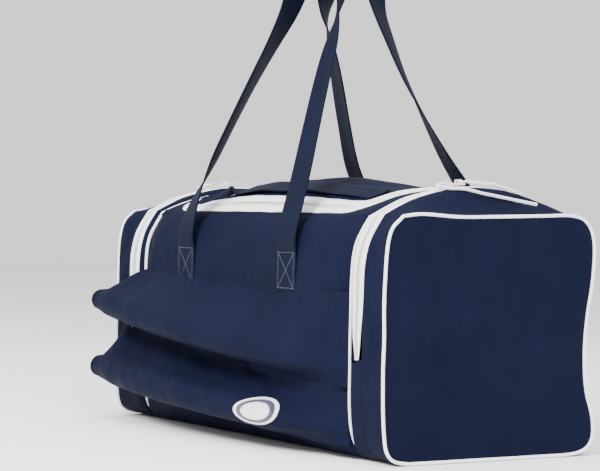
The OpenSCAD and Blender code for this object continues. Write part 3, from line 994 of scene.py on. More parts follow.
@dataclass
class MainSection:
    """Bottom, front and back walls, the frame of cloth round the lid, and the piping at both ends."""

    wardrobe: Wardrobe
    cloth: float = 1.8
    stations: int = 121
    folds: tuple[Fold, ...] = (
        Fold((296, -178, 20), (288, -182, 320), 12, 7.0),
        Fold((-296, -178, 200), (-286, -180, 320), 10, 3.0),
        Fold((285, -178, 300), (215, -180, 262), 9, 2.6),
        Fold((-285, -178, 305), (-205, -180, 285), 9, 2.2),
        Fold((100, -178, 318), (30, -180, 268), 12, 2.0),
        Fold((-110, -178, 316), (-60, -180, 262), 12, 2.2),
        Fold((250, 178, 40), (200, 180, 230), 16, 4.0),
        Fold((-250, 178, 60), (-180, 180, 250), 16, 4.0),
        Fold((40, 178, 40), (10, 180, 220), 18, 3.5),
        Fold((290, -150, 326), (236, -120, 345), 8, 2.0),
    )

    def shell(self) -> None:
        """Lofts the walls and the bottom as one sagging skin."""
        xs = np.linspace(-FORM.seam_x, FORM.seam_x, self.stations)
        rings = np.stack([resample(FORM.open_ring(float(x)), 230) for x in xs])
        points = np.concatenate([np.broadcast_to(xs[:, None, None], (*rings.shape[:2], 1)), rings], axis=2)
        normal = grid_normals(points)
        if (normal[:, :, 2] * (points[:, :, 2] - 165)).sum() < 0:
            normal = -normal
        flat = points.reshape(-1, 3)
        above = np.clip((flat[:, 2] - 6) / 40, 0, 1)
        edge = FORM.seam_x - np.abs(flat[:, 0])
        pinch = 8.5 * np.exp(-edge / 10.0) * above
        fullness = 3.0 * np.sin(np.pi * np.clip(edge / 300, 0, 1)) * above
        sink = pinch - fullness + sum(fold.at(flat) for fold in self.folds) * above
        sink -= (ripple(flat, 90, 1.0) * 3.0 + ripple(flat, 34, 7.0) * 1.0) * above
        flat = flat - normal.reshape(-1, 3) * sink[:, None]
        flat[:, 2] = np.maximum(flat[:, 2], 0.3)
        ends = np.clip(1 - edge / 7, 0, 1).reshape(rings.shape[:2])
        obj = cloth_grid(
            "body_shell", flat.reshape(points.shape), self.wardrobe[Slot.CANVAS], self.cloth,
            (0, 0, MID_Z), ends,
        )
        tidy_normals(obj)
        finish_piece(obj, "bag", ("front_panel", "back_panel", "bottom_panel"))

    def top_frame(self) -> None:
        """Lays the cloth between the lid's zipper and the edge of the top."""
        count = 240
        inner = FORM.lid_edge(31.0, count)
        edge = FORM.seam_x - 0.5
        spread = np.clip(inner[:, 0] * edge / (FORM.lid_half + 31), -edge, edge)
        outer = np.stack([spread, inner[:, 1]], axis=1)
        front = inner[:, 1] < -FORM.lid_front + 12
        outer[front, 1] = -FORM.shelf_y + 0.4
        corner = np.abs(inner[:, 0]) > FORM.lid_half - 12
        outer[corner, 0] = np.sign(inner[corner, 0]) * edge
        rows = []
        for share in np.linspace(0, 1, 6):
            plan = inner * (1 - share) + outer * share
            z = FORM.top(plan[:, 0], plan[:, 1])
            near = np.clip(1 - (FORM.seam_x - np.abs(plan[:, 0])) / 8, 0, 1)
            rows.append(np.column_stack([plan, z - 7.0 * near]))
        seam = np.array([1, 0.35, 0, 0, 0.35, 0.8])[:, None]
        obj = cloth_grid("top_frame", np.array(rows), self.wardrobe[Slot.CANVAS], self.cloth, (0, 0, 0), seam)
        tidy_normals(obj)
        finish_piece(obj, "bag", ("top_panel",))

    def piping(self) -> None:
        """Runs the corded piping round both ends of the main section, with the lining behind it."""
        for end in End:
            ring = FORM.closed_ring(FORM.seam_x, 260)
            ring = ring - np.array([0, MID_Z])
            ring *= 1 - 5.5 / np.linalg.norm(ring, axis=1)[:, None]
            ring += np.array([0, MID_Z])
            ring[:, 1] = np.maximum(ring[:, 1], 2.6)
            path = np.column_stack([np.full(len(ring), end.value * FORM.seam_x), ring])
            path[:, 0] += ripple(path, 60, 4.0) * 1.5
            obj = tube(f"{end.word}_main_piping_cord", path * MM, 2.5 * MM, self.wardrobe[Slot.PIPING], True)
            tidy_normals(obj)
            finish_piece(obj, "bag", (f"{end.word}_main_piping",))
            lining = disc(f"{end.word}_partition_cloth", end.value * FORM.seam_x, ring, 4.0, -end.value, 2.0,
                          self.wardrobe[Slot.LINING], 1.2)
            finish_piece(lining, "bag", (f"{end.word}_partition",))

    def build(self) -> None:
        """Builds the whole section."""
        self.shell()
        self.top_frame()
        self.piping()


def disc(
    name: str, x: float, ring: np.ndarray, inset: float, way: float, bulge: float,
    material: bpy.types.Material, thickness: float, folds: Sequence[Fold] = (),
) -> bpy.types.Object:
    """A sheet that fills a ring in the YZ plane and swells a little.

    Args:
        name: the piece's name.
        x: place along the bag.
        ring: outline (Y, Z) in millimetres.
        inset: how far inside the outline the sheet ends.
        way: the side its outer face looks to, along X.
        bulge: how far its middle swells.
        material: its finish.
        thickness: in millimetres.
        folds: creases in it.

    Returns:
        The object.
    """
    middle = np.array([0.0, 165.0])
    rows = []
    shares = np.concatenate([np.linspace(0.0, 0.9, 28), np.linspace(0.92, 1.0, 7)])
    for share in shares:
        out = ring - middle
        out = out * (1 - inset / np.linalg.norm(out, axis=1)[:, None]) * share
        swell = bulge * (1 - share**3)
        rows.append(np.column_stack([np.full(len(ring), x + way * swell), out + middle]))
    points = np.array(rows)
    flat = points.reshape(-1, 3)
    soft = np.repeat(np.clip((1 - shares) * 6, 0, 1), len(ring))
    sink = sum((fold.at(flat) for fold in folds), np.zeros(len(flat)))
    flat[:, 0] -= way * (sink - ripple(flat, 110, 9.0) * 3.0 - ripple(flat, 40, 2.0) * 0.8) * soft
    seam = np.clip((shares - 0.93) * 14, 0, 1)[:, None]
    obj = cloth_grid(
        name, flat.reshape(points.shape), material, thickness, (x - way * 500, 0, MID_Z), seam, wrap=True
    )
    # the cloth's own coordinates are the plane's, so that its weave runs straight
    layer = obj.data.uv_layers["cloth"]
    for loop in obj.data.loops:
        at = obj.data.vertices[loop.vertex_index].co
        layer.data[loop.index].uv = (at.y, at.z)
    tidy_normals(obj)
    return obj


# ---------------------------------------------------------------------------------------------
# Lid


@dataclass
class Lid:
    """The zipped lid: cloth, tapes, coil and the twisted strap over it."""

    wardrobe: Wardrobe
    strap_width: float = 38.0
    strap_half: float = 232.0
    twist_at: float = -172.0
    twist_run: float = 90.0

    def cloth(self) -> None:
        """Lays the lid's cloth."""
        half, r = FORM.lid_half, FORM.lid_corner
        xs = np.linspace(-half, half, 97)
        into = np.clip(np.abs(xs) - (half - r), 0, r)
        front = -FORM.lid_front + r - np.sqrt(np.maximum(r * r - into * into, 0.0))
        rows = []
        for x, y0 in zip(xs, front):
            y = np.linspace(y0, FORM.hinge_y - 0.6, 46)
            z = FORM.top(x, y) + 0.0
            rows.append(np.column_stack([np.full(46, x), y, z]))
        points = np.array(rows)
        flat = points.reshape(-1, 3)
        away = np.minimum(half - np.abs(flat[:, 0]), flat[:, 1] + FORM.lid_front)
        free = np.clip(away / 30, 0, 1) * np.clip((FORM.hinge_y - flat[:, 1]) / 40, 0, 1)
        flat[:, 2] += (ripple(flat, 80, 3.0) * 3.0 + ripple(flat, 30, 5.0) * 0.9) * free
        seam = np.clip(1 - away / 8, 0, 1).reshape(points.shape[:2])
        obj = cloth_grid(
            "lid_cloth", flat.reshape(points.shape), self.wardrobe[Slot.CANVAS], 1.6, (0, 0, 0), seam
        )
        tidy_normals(obj)
        finish_piece(obj, "lid", ("lid_panel",))

    def band(self, name: str, near: float, far: float, lift: float, body: str, node: str) -> None:
        """Lays one tape along the zipper line.

        Args:
            name: the piece's name.
            near: its inner edge, out from the lid's edge.
            far: its outer edge.
            lift: height over the cloth.
            body: the body it rides on.
            node: the CAD node it replaces.
        """
        rows = []
        for grow in np.linspace(near, far, 5):
            plan = FORM.lid_edge(grow, 320)
            wave = 0.5 * np.sin(np.arange(320) / 3.1)
            rows.append(np.column_stack([plan, FORM.top(plan[:, 0], plan[:, 1]) + lift + wave * 0.5]))
        obj = cloth_grid(name, np.array(rows), self.wardrobe[Slot.ZIP_TAPE], 1.0, (0, 0, 0))
        tidy_normals(obj)
        finish_piece(obj, body, (node,))

    def coil(self, name: str, grow: float, body: str, node: str) -> None:
        """Lays one row of coil teeth along the zipper line."""
        plan = FORM.lid_edge(grow, 1200)
        path = walk(np.column_stack([plan, FORM.top(plan[:, 0], plan[:, 1]) + 0.9]), 2.3)
        ahead = directions(path)
        up = np.cross(ahead, np.cross((0, 0, 1.0), ahead))
        across = np.cross(ahead, up)
        obj = Scatter(name, (1.5, 2.0, 4.2), self.wardrobe[Slot.ZIP_TEETH]).lay(path, across, up)
        finish_piece(obj, body, (node,))

    def strap(self) -> None:
        """Lays the strap along the lid, turned over once on the way."""
        xs = np.linspace(-self.strap_half, self.strap_half, 150)
        share = np.clip((xs - self.twist_at) / self.twist_run + 0.5, 0, 1)
        turn = np.pi * (0.5 - 0.5 * np.cos(np.pi * share))
        rise = 3.0 + (self.strap_width / 2 - 16) * np.abs(np.sin(turn)) + 1.5 * np.sin(xs / 37.0) ** 2
        ends = np.clip((self.strap_half - np.abs(xs)) / 30, 0, 1)
        centre_y = -88 + 3 * np.sin(xs / 90.0) - 36.0 * np.clip((-xs - 190) / 42, 0, 1) ** 1.5
        tilt = 0.36 + 0.30 * np.clip((-xs - 180) / 50, 0, 1)
        rows = []
        for u in np.linspace(-1, 1, 11):
            narrow = 1 - 0.62 * np.abs(np.sin(turn))
            reach = u * self.strap_width / 2 * narrow
            y = centre_y + reach * np.cos(turn + tilt)
            z = FORM.top(xs, centre_y) + rise * (0.45 + 0.55 * ends) + reach * np.sin(turn + tilt)
            z = np.maximum(z, FORM.top(xs, np.clip(y, -149, 120)) + 1.5)
            rows.append(np.column_stack([xs + 0 * u, y, z]))
        points = np.transpose(np.array(rows), (1, 0, 2))
        obj = ribbon("lid_strap_webbing", points, self.wardrobe[Slot.WEBBING], 1.8)
        finish_piece(obj, "lid", ("lid_strap",))

    def build(self) -> None:
        """Builds the lid."""
        self.cloth()
        self.band("lid_side_tape", -0.5, 12.5, 0.9, "lid", "lid_zip_lid_tape")
        self.band("body_side_tape", 19.5, 32.0, 0.9, "bag", "lid_zip_body_tape")
        self.coil("lid_side_coil", 14.0, "lid", "lid_zip_lid_teeth")
        self.coil("body_side_coil", 18.0, "bag", "lid_zip_body_teeth")
        self.strap()


def ribbon(name: str, points: np.ndarray, material: bpy.types.Material, thickness: float) -> bpy.types.Object:
    """A flat band of webbing from a grid of points (along, across), of even thickness."""
    rows, columns = points.shape[:2]
    along = np.concatenate([[0], np.cumsum(np.linalg.norm(np.diff(points[:, columns // 2], axis=0), axis=1))])
    across = np.linalg.norm(points[0, -1] - points[0, 0]) * np.linspace(0, 1, columns)
    uv = np.stack(np.meshgrid(along, across, indexing="ij"), axis=-1).reshape(-1, 2) * MM
    obj = make_mesh(name, points.reshape(-1, 3) * MM, grid_faces(rows, columns), material, uv)
    thicken(obj, thickness * MM, 0.0)
    tidy_normals(obj)
    return obj


# ---------------------------------------------------------------------------------------------
# End pockets


@dataclass
class EndPocket:
    """One zipped end pocket, whose flap folds down with its end panel."""

    wardrobe: Wardrobe
    end: End
    count: int = 260

    @property
    def blend(self) -> tuple:
        """The bend between the bag and this flap, over the fold line."""
        x = self.end.value * 0.36
        return ("bag", f"{self.end.word}_flap", (x, 0, 0.131), (x, 0, 0.178))

    def rings(self, xs: Sequence[float]) -> np.ndarray:
        """Pocket outlines at places out from the bag's middle, as grid points."""
        out = []
        for x in xs:
            ring = FORM.pocket_ring(x, self.count)
            out.append(np.column_stack([np.full(self.count, self.end.value * x), ring]))
        return np.array(out)

    def node(self, *names: str) -> tuple[str, ...]:
        """CAD node names at this end."""
        return tuple(f"{self.end.word}_{name}" for name in names)

    def skin(
        self, name: str, points: np.ndarray, keep: Callable[[np.ndarray], np.ndarray], **extra: object
    ) -> object:
        """A cloth ring, kept where the face centres pass a test."""
        faces = grid_faces(*points.shape[:2], wrap=True)
        centre = points.reshape(-1, 3)[faces].mean(axis=1)
        middle = (self.end.value * 345.0, 0, MID_Z)
        slot = extra.get("slot", Slot.CANVAS)
        obj = cloth_grid(
            name, points, self.wardrobe[slot], extra.get("cloth", 1.6), middle, extra.get("seam"),
            True, keep(centre),
        )
        tidy_normals(obj)
        return obj

    def crumple(self, points: np.ndarray, folds: Sequence[Fold]) -> np.ndarray:
        """Adds soft unevenness to a ring of cloth, held at its two edges."""
        normal = grid_normals(points)
        middle = np.array([0, 0, MID_Z])
        if (normal[..., 1:] * (points - middle)[..., 1:]).sum() < 0:
            normal = -normal
        flat = points.reshape(-1, 3)
        out = np.abs(flat[:, 0])
        held = np.clip(np.minimum(out - 339, 388 - out) / 12, 0, 1)
        above = np.clip((flat[:, 2] - 10) / 40, 0, 1)
        sink = sum((fold.at(flat * np.array([self.end.value, 1, 1])) for fold in folds), np.zeros(len(flat)))
        sink -= ripple(flat, 60, 12.0) * 2.2 + ripple(flat, 24, 3.0) * 0.7
        return (flat - normal.reshape(-1, 3) * (sink * held * above)[:, None]).reshape(points.shape)

    def cloth(self) -> None:
        """Lays the strip beside the main piping and the gusset out to the end panel."""
        def zipped(centre: np.ndarray) -> np.ndarray:
            """Faces where the zipper takes the cloth's place."""
            out = np.abs(centre[:, 0])
            return (out > 312.5) & (out < 339.5) & (centre[:, 2] > FORM.flap_z)

        xs = np.concatenate([[302.0, 305, 309, 312.5], np.linspace(316, 339.5, 6)])
        points = self.rings(xs)
        dip = 8.0 * np.exp(-(np.abs(points[..., 0]) - 302) / 4.0)
        away = points[..., 1:] - np.array([0, MID_Z])
        away /= np.linalg.norm(away, axis=2, keepdims=True)
        points[..., 1:] -= away * dip[..., None] * np.clip((points[..., 2:] - 12) / 30, 0, 1)
        points[..., 2] = np.maximum(points[..., 2], 0.4)
        strip = self.skin(f"{self.end.word}_pocket_strip", points, lambda c: ~zipped(c))
        finish_piece(strip, "bag", self.node("pocket_body"))
        xs = np.concatenate([np.linspace(339.5, 380, 15), [382.5, 384.5, 386.5]])
        folds = (
            Fold((345, -175, 60), (380, -178, 200), 9, 3.0), Fold((345, -178, 250), (378, -176, 150), 8, 2.2),
            Fold((342, -120, 350), (384, -60, 338), 12, 2.5), Fold((344, 40, 360), (384, 110, 336), 13, 2.8),
            Fold((344, -178, 330), (372, -178, 240), 8, 2.0),
        )
        points = self.crumple(self.rings(xs), folds)
        seam = np.clip((np.abs(points[..., 0]) - 376) / 10, 0, 1)
        gusset = self.skin(f"{self.end.word}_gusset_cloth", points, lambda c: c[:, 2] > -9, seam=seam)
        finish_piece(gusset, self.blend, self.node("gusset"))

    def zipper(self) -> None:
        """Lays both tapes and both rows of teeth, up one side, over the top and down the other."""
        def upper(centre: np.ndarray) -> np.ndarray:
            """Faces above the foot of the zipper."""
            return centre[:, 2] > FORM.flap_z

        inner = self.narrowed(self.lifted(np.linspace(312, 322.4, 5), 0.7), 322.4)
        tape = self.skin(f"{self.end.word}_inner_tape", inner, upper, slot=Slot.ZIP_TAPE, cloth=1.0)
        finish_piece(tape, "bag", self.node("zip_inner_tape"))
        outer = self.narrowed(self.lifted(np.linspace(329.6, 340.4, 5), 0.7), 329.6)
        tape = self.skin(f"{self.end.word}_outer_tape", outer, upper, slot=Slot.ZIP_TAPE, cloth=1.0)
        finish_piece(tape, self.blend, self.node("zip_outer_tape"))
        self.coil(f"{self.end.word}_inner_coil", 324.0, "bag", "zip_inner_teeth")
        self.coil(f"{self.end.word}_outer_coil", 328.0, self.blend, "zip_outer_teeth")

    def narrowed(self, points: np.ndarray, edge: float) -> np.ndarray:
        """Draws a tape in towards the teeth at its foot, where the cloth closes over it."""
        share = smooth_between(points[..., 2], (FORM.flap_z, 160, 235), (0.15, 0.5, 1.0))
        edge *= self.end.value
        points[..., 0] = edge + (points[..., 0] - edge) * share
        return points

    def lifted(self, xs: Sequence[float], lift: float) -> np.ndarray:
        """Rings raised off the cloth, with a slight waviness."""
        points = self.rings(xs)
        away = points[..., 1:] - np.array([0, MID_Z])
        away /= np.linalg.norm(away, axis=2, keepdims=True)
        wave = 0.35 * np.sin(np.arange(self.count) / 2.3)
        points[..., 1:] += away * (lift + wave)[None, :, None]
        return points

    def coil(self, name: str, x: float, body: str | tuple, node: str) -> None:
        """Lays one row of teeth."""
        ring = self.lifted([x], 0.7)[0]
        ring = np.roll(ring, -int(np.argmin(ring[:, 2])), axis=0)
        path = walk(ring[ring[:, 2] > FORM.flap_z], 2.3)
        ahead = directions(path)
        across = np.broadcast_to([1.0, 0, 0], ahead.shape)
        up = np.cross(across, ahead)
        up *= np.sign((up[:, 1:] * (path[:, 1:] - np.array([0, MID_Z]))).sum(axis=1))[:, None]
        obj = Scatter(name, (1.5, 2.0, 4.2), self.wardrobe[Slot.ZIP_TEETH]).lay(path, across, up)
        finish_piece(obj, body, self.node(node))

    def panel(self) -> None:
        """Lays the end panel and the corded piping round it."""
        ring = FORM.pocket_ring(FORM.end_x, self.count)
        sign = self.end.value
        folds = (
            Fold((388 * sign, -120, 310), (388 * sign, -60, 190), 20, 3.0),
            Fold((388 * sign, 120, 300), (388 * sign, 40, 150), 24, 3.4),
            Fold((388 * sign, 130, 40), (388 * sign, 30, 140), 26, 3.4),
            Fold((388 * sign, -140, 60), (388 * sign, -40, 110), 20, 2.6),
            Fold((388 * sign, -20, 300), (388 * sign, 20, 240), 22, -2.0),
        )
        obj = disc(
            f"{self.end.word}_end_cloth", 386.5 * sign, ring, 1.0, sign, 4.0,
            self.wardrobe[Slot.CANVAS], 1.8, folds,
        )
        finish_piece(obj, self.blend, self.node("end_panel", "end_panel_foot"))
        path = np.column_stack([np.full(self.count, sign * 387.4), ring])
        path[:, 2] = np.maximum(path[:, 2], 3.0)
        path[:, 0] += ripple(path, 50, 6.0) * 1.6
        cord = tube(f"{self.end.word}_end_piping_cord", path * MM, 2.3 * MM, self.wardrobe[Slot.PIPING], True)
        tidy_normals(cord)
        finish_piece(cord, self.blend, self.node("end_piping", "end_piping_foot"))

    def build(self) -> None:
        """Builds the pocket."""
        self.cloth()
        self.zipper()
        self.panel()


# ---------------------------------------------------------------------------------------------
# Bat sleeves


def hull(points: np.ndarray) -> np.ndarray:
    """Convex outline of 2-D points, anticlockwise."""
    order = points[np.lexsort((points[:, 1], points[:, 0]))]

    def half(run: Iterable[np.ndarray]) -> list:
        """One side of the outline."""
        kept: list = []
        for p in run:
            while len(kept) > 1:
                a, b = kept[-1] - kept[-2], p - kept[-2]
                if a[0] * b[1] - a[1] * b[0] > 0:
                    break
                kept.pop()
            kept.append(p)
        return kept[:-1]

    return np.array(half(order) + half(order[::-1]))


@dataclass
class BatSleeve:
    """One cloth sleeve on the front: a loose tapered mouth, then cloth drawn round the bat."""

    wardrobe: Wardrobe
    name: str
    mouth_z: float
    end_z: float
    top: tuple[tuple[float, float], ...]
    low: tuple[tuple[float, float], ...]
    replaces: tuple[str, ...]
    mouth_x: float = -385.0
    end_x: float = 299.0
    barrel: float = 27.5
    around: int = 84
    ease: tuple[float, float] = (0.9, 0.62)

    def axis(self, x: float) -> float:
        """Height of the bat at a place along the bag."""
        return self.mouth_z + (self.end_z - self.mouth_z) * (x - self.mouth_x) / 585.0

    def ring(self, x: float) -> np.ndarray:
        """The sleeve's outline (Y, Z) at one place, starting from its top edge."""
        radius = float(smooth_between(
            np.array(x), (-385, -340, -300, 110, 200, 268, 299),
            (16.5, 22, self.barrel, self.barrel * 0.92, 16, 6, 1.2),
        ))
        back = float(np.interp(x, (-385, -300), (-197, -180.5))) + 9.5 * math.exp((x - 300) / 10)
        centre = float(np.interp(x, (-385, -300), (-212, back - radius - 0.5)))
        if x > -300:
            centre = back - radius - 0.5
        z = self.axis(x)
        turn = np.radians(np.arange(0, 360, 6))
        circle = np.column_stack([centre + radius * np.cos(turn), z + radius * np.sin(turn)])
        top = float(smooth_between(np.array(x), *zip(*self.top)))
        low = float(smooth_between(np.array(x), *zip(*self.low)))
        outline = hull(np.vstack([circle, [[back, top], [back, low], [back - 1, top], [back - 1, low]]]))
        first = int(np.argmax(outline[:, 1] - 0.02 * outline[:, 0]))
        outline = np.roll(outline, -first, axis=0)
        ring = resample(outline, self.around, closed=True)
        if x > -330:
            # above and below the bat the cloth leaves the wall gently
            reach = np.where(ring[:, 1] > z, top - ring[:, 1], ring[:, 1] - low)
            room = np.where(ring[:, 1] > z, top - z, z - low) - 0.6 * radius
            ease = np.clip(reach / np.maximum(room, 1), 0.02, 1) ** np.where(ring[:, 1] > z, *self.ease)
            away = np.minimum(ring[:, 0] - back, 0)
            ring[:, 0] += away * (ease - 1) * min((x + 330) / 40, 1)
        return ring

    def build(self) -> bpy.types.Object:
        """Builds the sleeve."""
        xs = np.concatenate([np.linspace(self.mouth_x, -296, 24), np.linspace(-291, self.end_x, 118)])
        points = np.array([np.column_stack([np.full(self.around, x), self.ring(x)]) for x in xs])
        soft = points.copy()
        # neighbours are averaged a little, so that the cloth has no hard lines where it leaves the bat
        for _ in range(3):
            soft = 0.5 * soft + 0.25 * (np.roll(soft, 1, 1) + np.roll(soft, -1, 1))
            soft[1:-1] = 0.5 * soft[1:-1] + 0.25 * (soft[2:] + soft[:-2])
        normal = grid_normals(soft)
        flat = soft.reshape(-1, 3)
        if normal[60, :, 1][np.argmin(soft[60, :, 1])] > 0:
            normal = -normal
        front = np.clip((-flat[:, 1] - 180) / 8, 0, 1)
        slope = np.sin((flat[:, 0] * 0.9 + flat[:, 2] * 1.7) / 26.0 + ripple(flat, 70, 5.0) * 3.0)
        lift = ripple(flat, 60, 21.0) * 1.8 + ripple(flat, 22, 4.0) * 0.8 + slope * 0.7
        flat = flat + normal.reshape(-1, 3) * (lift * front)[:, None]
        end_seam = np.clip((flat[:, 0] - self.end_x + 10) / 10, 0, 1)
        obj = cloth_grid(
            self.name, flat.reshape(points.shape), self.wardrobe[Slot.CANVAS], 1.3,
            (0, -190, self.axis(-50)), end_seam.reshape(points.shape[:2]), wrap=True,
        )
        tidy_normals(obj)
        return finish_piece(obj, "bag", self.replaces)


@dataclass
class Emblem:
    """A plain embroidered oval badge on the lower sleeve."""

    wardrobe: Wardrobe
    sleeve: bpy.types.Object
    x: float = 137.0
    z: float = 54.0
    width: float = 92.0
    height: float = 38.0
    ray_start_y: float = -0.4
    deepest_y: float = -0.19
    usual_y: float = -0.234

    def outline(self) -> np.ndarray:
        """Oval outline about its middle."""
        turn = np.radians(np.arange(0, 360, 3))
        return np.column_stack([np.cos(turn) * self.width / 2, np.sin(turn) * self.height / 2])

    def patch(
        self, name: str, scales: tuple[float, float], lift: float, material: bpy.types.Material
    ) -> object:
        """Lays an oval band or patch on the sleeve.

        Args:
            name: the piece's name.
            scales: inner and outer size, as shares of the whole.
            lift: height over the cloth.
            material: its thread.

        Returns:
            The piece.
        """
        tree = BVHTree.FromObject(self.sleeve, bpy.context.evaluated_depsgraph_get())
        outline = self.outline()
        rows = []
        for scale in np.linspace(*scales, 8):
            row = []
            for x, z in outline * scale:
                at_x, at_z = (self.x + x) * MM, (self.z + z) * MM
                hit = tree.ray_cast(Vector((at_x, self.ray_start_y, at_z)), Vector((0, 1, 0)))[0]
                missed = hit is None or hit.y >= self.deepest_y
                spot = Vector((at_x, self.usual_y, at_z)) if missed else hit
                row.append(np.array(spot) / MM + np.array([0, -lift, 0]))
            rows.append(row)
        obj = cloth_grid(name, np.array(rows), material, 0.7, (self.x, -100, self.z), wrap=True)
        layer = obj.data.uv_layers["cloth"]
        for loop in obj.data.loops:
            at = obj.data.vertices[loop.vertex_index].co
            layer.data[loop.index].uv = (at.x, at.z)
        tidy_normals(obj)
        return obj

    def build(self) -> None:
        """Builds the border, the field and the centre."""
        border = self.patch("emblem_border", (0.86, 1.0), 0.9, self.wardrobe[Slot.THREAD])
        finish_piece(border, "bag", ("emblem_patch",))
        field_piece = self.patch("emblem_field", (0.0, 0.87), 0.6, self.wardrobe.navy_thread)
        finish_piece(field_piece, "bag")
        centre = self.patch("emblem_centre", (0.0, 0.66), 1.1, self.wardrobe[Slot.THREAD])
        finish_piece(centre, "bag")


# ---------------------------------------------------------------------------------------------
# Handles


@dataclass
class Handle:
    """One long webbing handle, sewn to a wall at both ends."""

    wardrobe: Wardrobe
    name: str
    side: float
    route: tuple
    width: float = 50.0
    thickness: float = 2.2
    foot_z: float = 221.0

    def line(self) -> np.ndarray:
        """The whole route: X, Y, Z and the turn of the webbing."""
        wall = self.side * 182.3
        first, last = self.route[0], self.route[-1]

        def foot(x: float) -> list:
            """Points down the wall from one end of the route."""
            return [(x, wall, self.foot_z, 0), (x, wall + self.side * 0.4, 245, 0), (x, wall, 272, 0)]

        return spline([*foot(first[0]), *self.route, *reversed(foot(last[0]))], 9)

    def build(self) -> None:
        """Builds the handle."""
        line = self.line()
        path = line[:, :3]
        ahead = directions(path)
        turn = np.radians(line[:, 3])
        flat = np.column_stack([np.cos(turn), np.sin(turn), np.zeros(len(line))])
        across = flat - ahead * (flat * ahead).sum(axis=1)[:, None]
        across /= np.linalg.norm(across, axis=1)[:, None]
        thick = np.cross(ahead, across)
        columns = np.linspace(-1, 1, 11)
        # the webbing cups a little across its width where it hangs free
        free = np.clip((path[:, 2] - 320) / 80, 0, 1)
        cup = 2.2 * free * np.sin(np.arange(len(line)) / 11.0)
        points = path[:, None] + columns[None, :, None] * self.width / 2 * across[:, None]
        points = points + (np.square(columns)[None, :, None] * cup[:, None, None]) * thick[:, None]
        obj = ribbon(f"{self.name}_webbing", points, self.wardrobe[Slot.WEBBING], self.thickness)
        blend = ("bag", self.name, (0, self.side * 0.184, 0.288), (0, self.side * 0.184, 0.318))
        finish_piece(obj, blend, (self.name, f"{self.name}_anchors"))
        self.stitching()

    def stitching(self) -> None:
        """Sews each end with a box and a cross."""
        spots, runs = [], []
        for x in (self.route[0][0], self.route[-1][0]):
            half, low, high = self.width / 2 - 4, self.foot_z + 5, 276.0
            corners = [(x - half, low), (x + half, low), (x + half, high), (x - half, high)]
            for a, b in ((0, 1), (1, 2), (2, 3), (3, 0), (0, 2), (1, 3)):
                line = walk(np.array([corners[a], corners[b]], float), 3.4)
                spots.append(np.column_stack([line[:, 0], np.full(len(line), self.side * 183.7), line[:, 1]]))
                heading = np.array([corners[b][0] - corners[a][0], 0, corners[b][1] - corners[a][1]], float)
                runs.append(np.broadcast_to(heading / np.linalg.norm(heading), (len(line), 3)))
        up = np.broadcast_to([0.0, self.side, 0.0], np.vstack(spots).shape)
        obj = Scatter(f"{self.name}_stitches", (0.9, 0.9, 2.5), self.wardrobe.navy_thread, 6).lay(
            np.vstack(spots), np.vstack(runs), up
        )
        finish_piece(obj, "bag")


FRONT_ROUTE = (
    (-152, -184, 299.5, -4), (-156, -168, 345, -16), (-144, -142, 405, -38), (-126, -116, 472, -42),
    (-112, -90, 535, -45), (-103, -61, 597, -52), (-98, -37, 650, -66), (-90, -28, 695, -86),
    (-70, -28, 726, -90), (-32, -28, 736, -90), (6, -28, 726, -90), (24, -28, 695, -82),
    (38, -37, 645, -40), (55, -57, 587, -14), (75, -84, 526, -8), (93, -110, 466, -6),
    (111, -136, 408, -4), (128, -162, 350, -2), (143, -184, 299.5, 0),
)
BACK_ROUTE = (
    (-168, 184, 299.5, 0), (-168, 160, 345, -4), (-164, 127, 405, -8), (-153, 102, 475, -12),
    (-136, 76, 540, -15), (-119, 50, 600, -24), (-106, 31, 648, -50), (-92, 28, 695, -84),
    (-72, 28, 726, -90), (-32, 28, 736, -90), (6, 28, 726, -90), (26, 28, 695, -82),
    (38, 35, 640, -58), (43, 54, 594, -50), (52, 79, 535, -42), (68, 104, 475, -30),
    (90, 127, 415, -18), (113, 160, 350, -6), (130, 184, 299.5, 0),
)


# ---------------------------------------------------------------------------------------------
# Pull cords


@dataclass
class PullCord:
    """A braided cord on a slider's pull ring."""

    wardrobe: Wardrobe
    name: str
    route: tuple
    body: str
    node: str
    diameter: float = 4.5

    def build(self) -> None:
        path = spline(self.route, 8)
        share = np.linspace(0, 1, len(path))
        sway = 1.6 * np.sin(share * 13.0) * np.sin(np.pi * share)
        path[:, 0] += sway
        path[:, 2] += 0.5 * np.abs(sway)
        path *= MM
        obj = tube(self.name, path, self.diameter / 2 * MM, self.wardrobe[Slot.CORD], sides=14)
        tidy_normals(obj)
        finish_piece(obj, self.body, (self.node,))
        self.diameter * MM
        LOG.info("%s is %.0f mm long", self.name, line_length(path) / MM)


def pocket_cords(wardrobe: Wardrobe, end: End) -> list[PullCord]:
    """The two cords on one pocket's sliders."""
    def over(route: Sequence[tuple[float, float, float]]) -> tuple:
        """Heights over the pocket's sloping top, at this end."""
        out = []
        for x, y, lift in route:
            crown = float(FORM.crown_top(y))
            slope = max(0.0, x - FORM.gusset_x) / FORM.gusset_run
            out.append((x * end.value, y, crown - (crown - FORM.wall_top) * slope + lift))
        return tuple(out)

    front = over((
        (326, -52.5, 7), (333, -60, 5.4), (344, -55, 4.8), (352, -28, 5.2), (365, 14, 5.8), (379, 74, 6.4),
    ))
    back = over(((326, -7.5, 7), (329, 4, 5.4), (335, 20, 4.8), (343, 40, 5.4), (352, 66, 6)))
    word = end.word
    return [
        PullCord(wardrobe, f"{word}_long_pull", front, f"{word}_front_slider", f"{word}_front_cord"),
        PullCord(wardrobe, f"{word}_short_pull", back, f"{word}_back_pull", f"{word}_back_cord"),
    ]


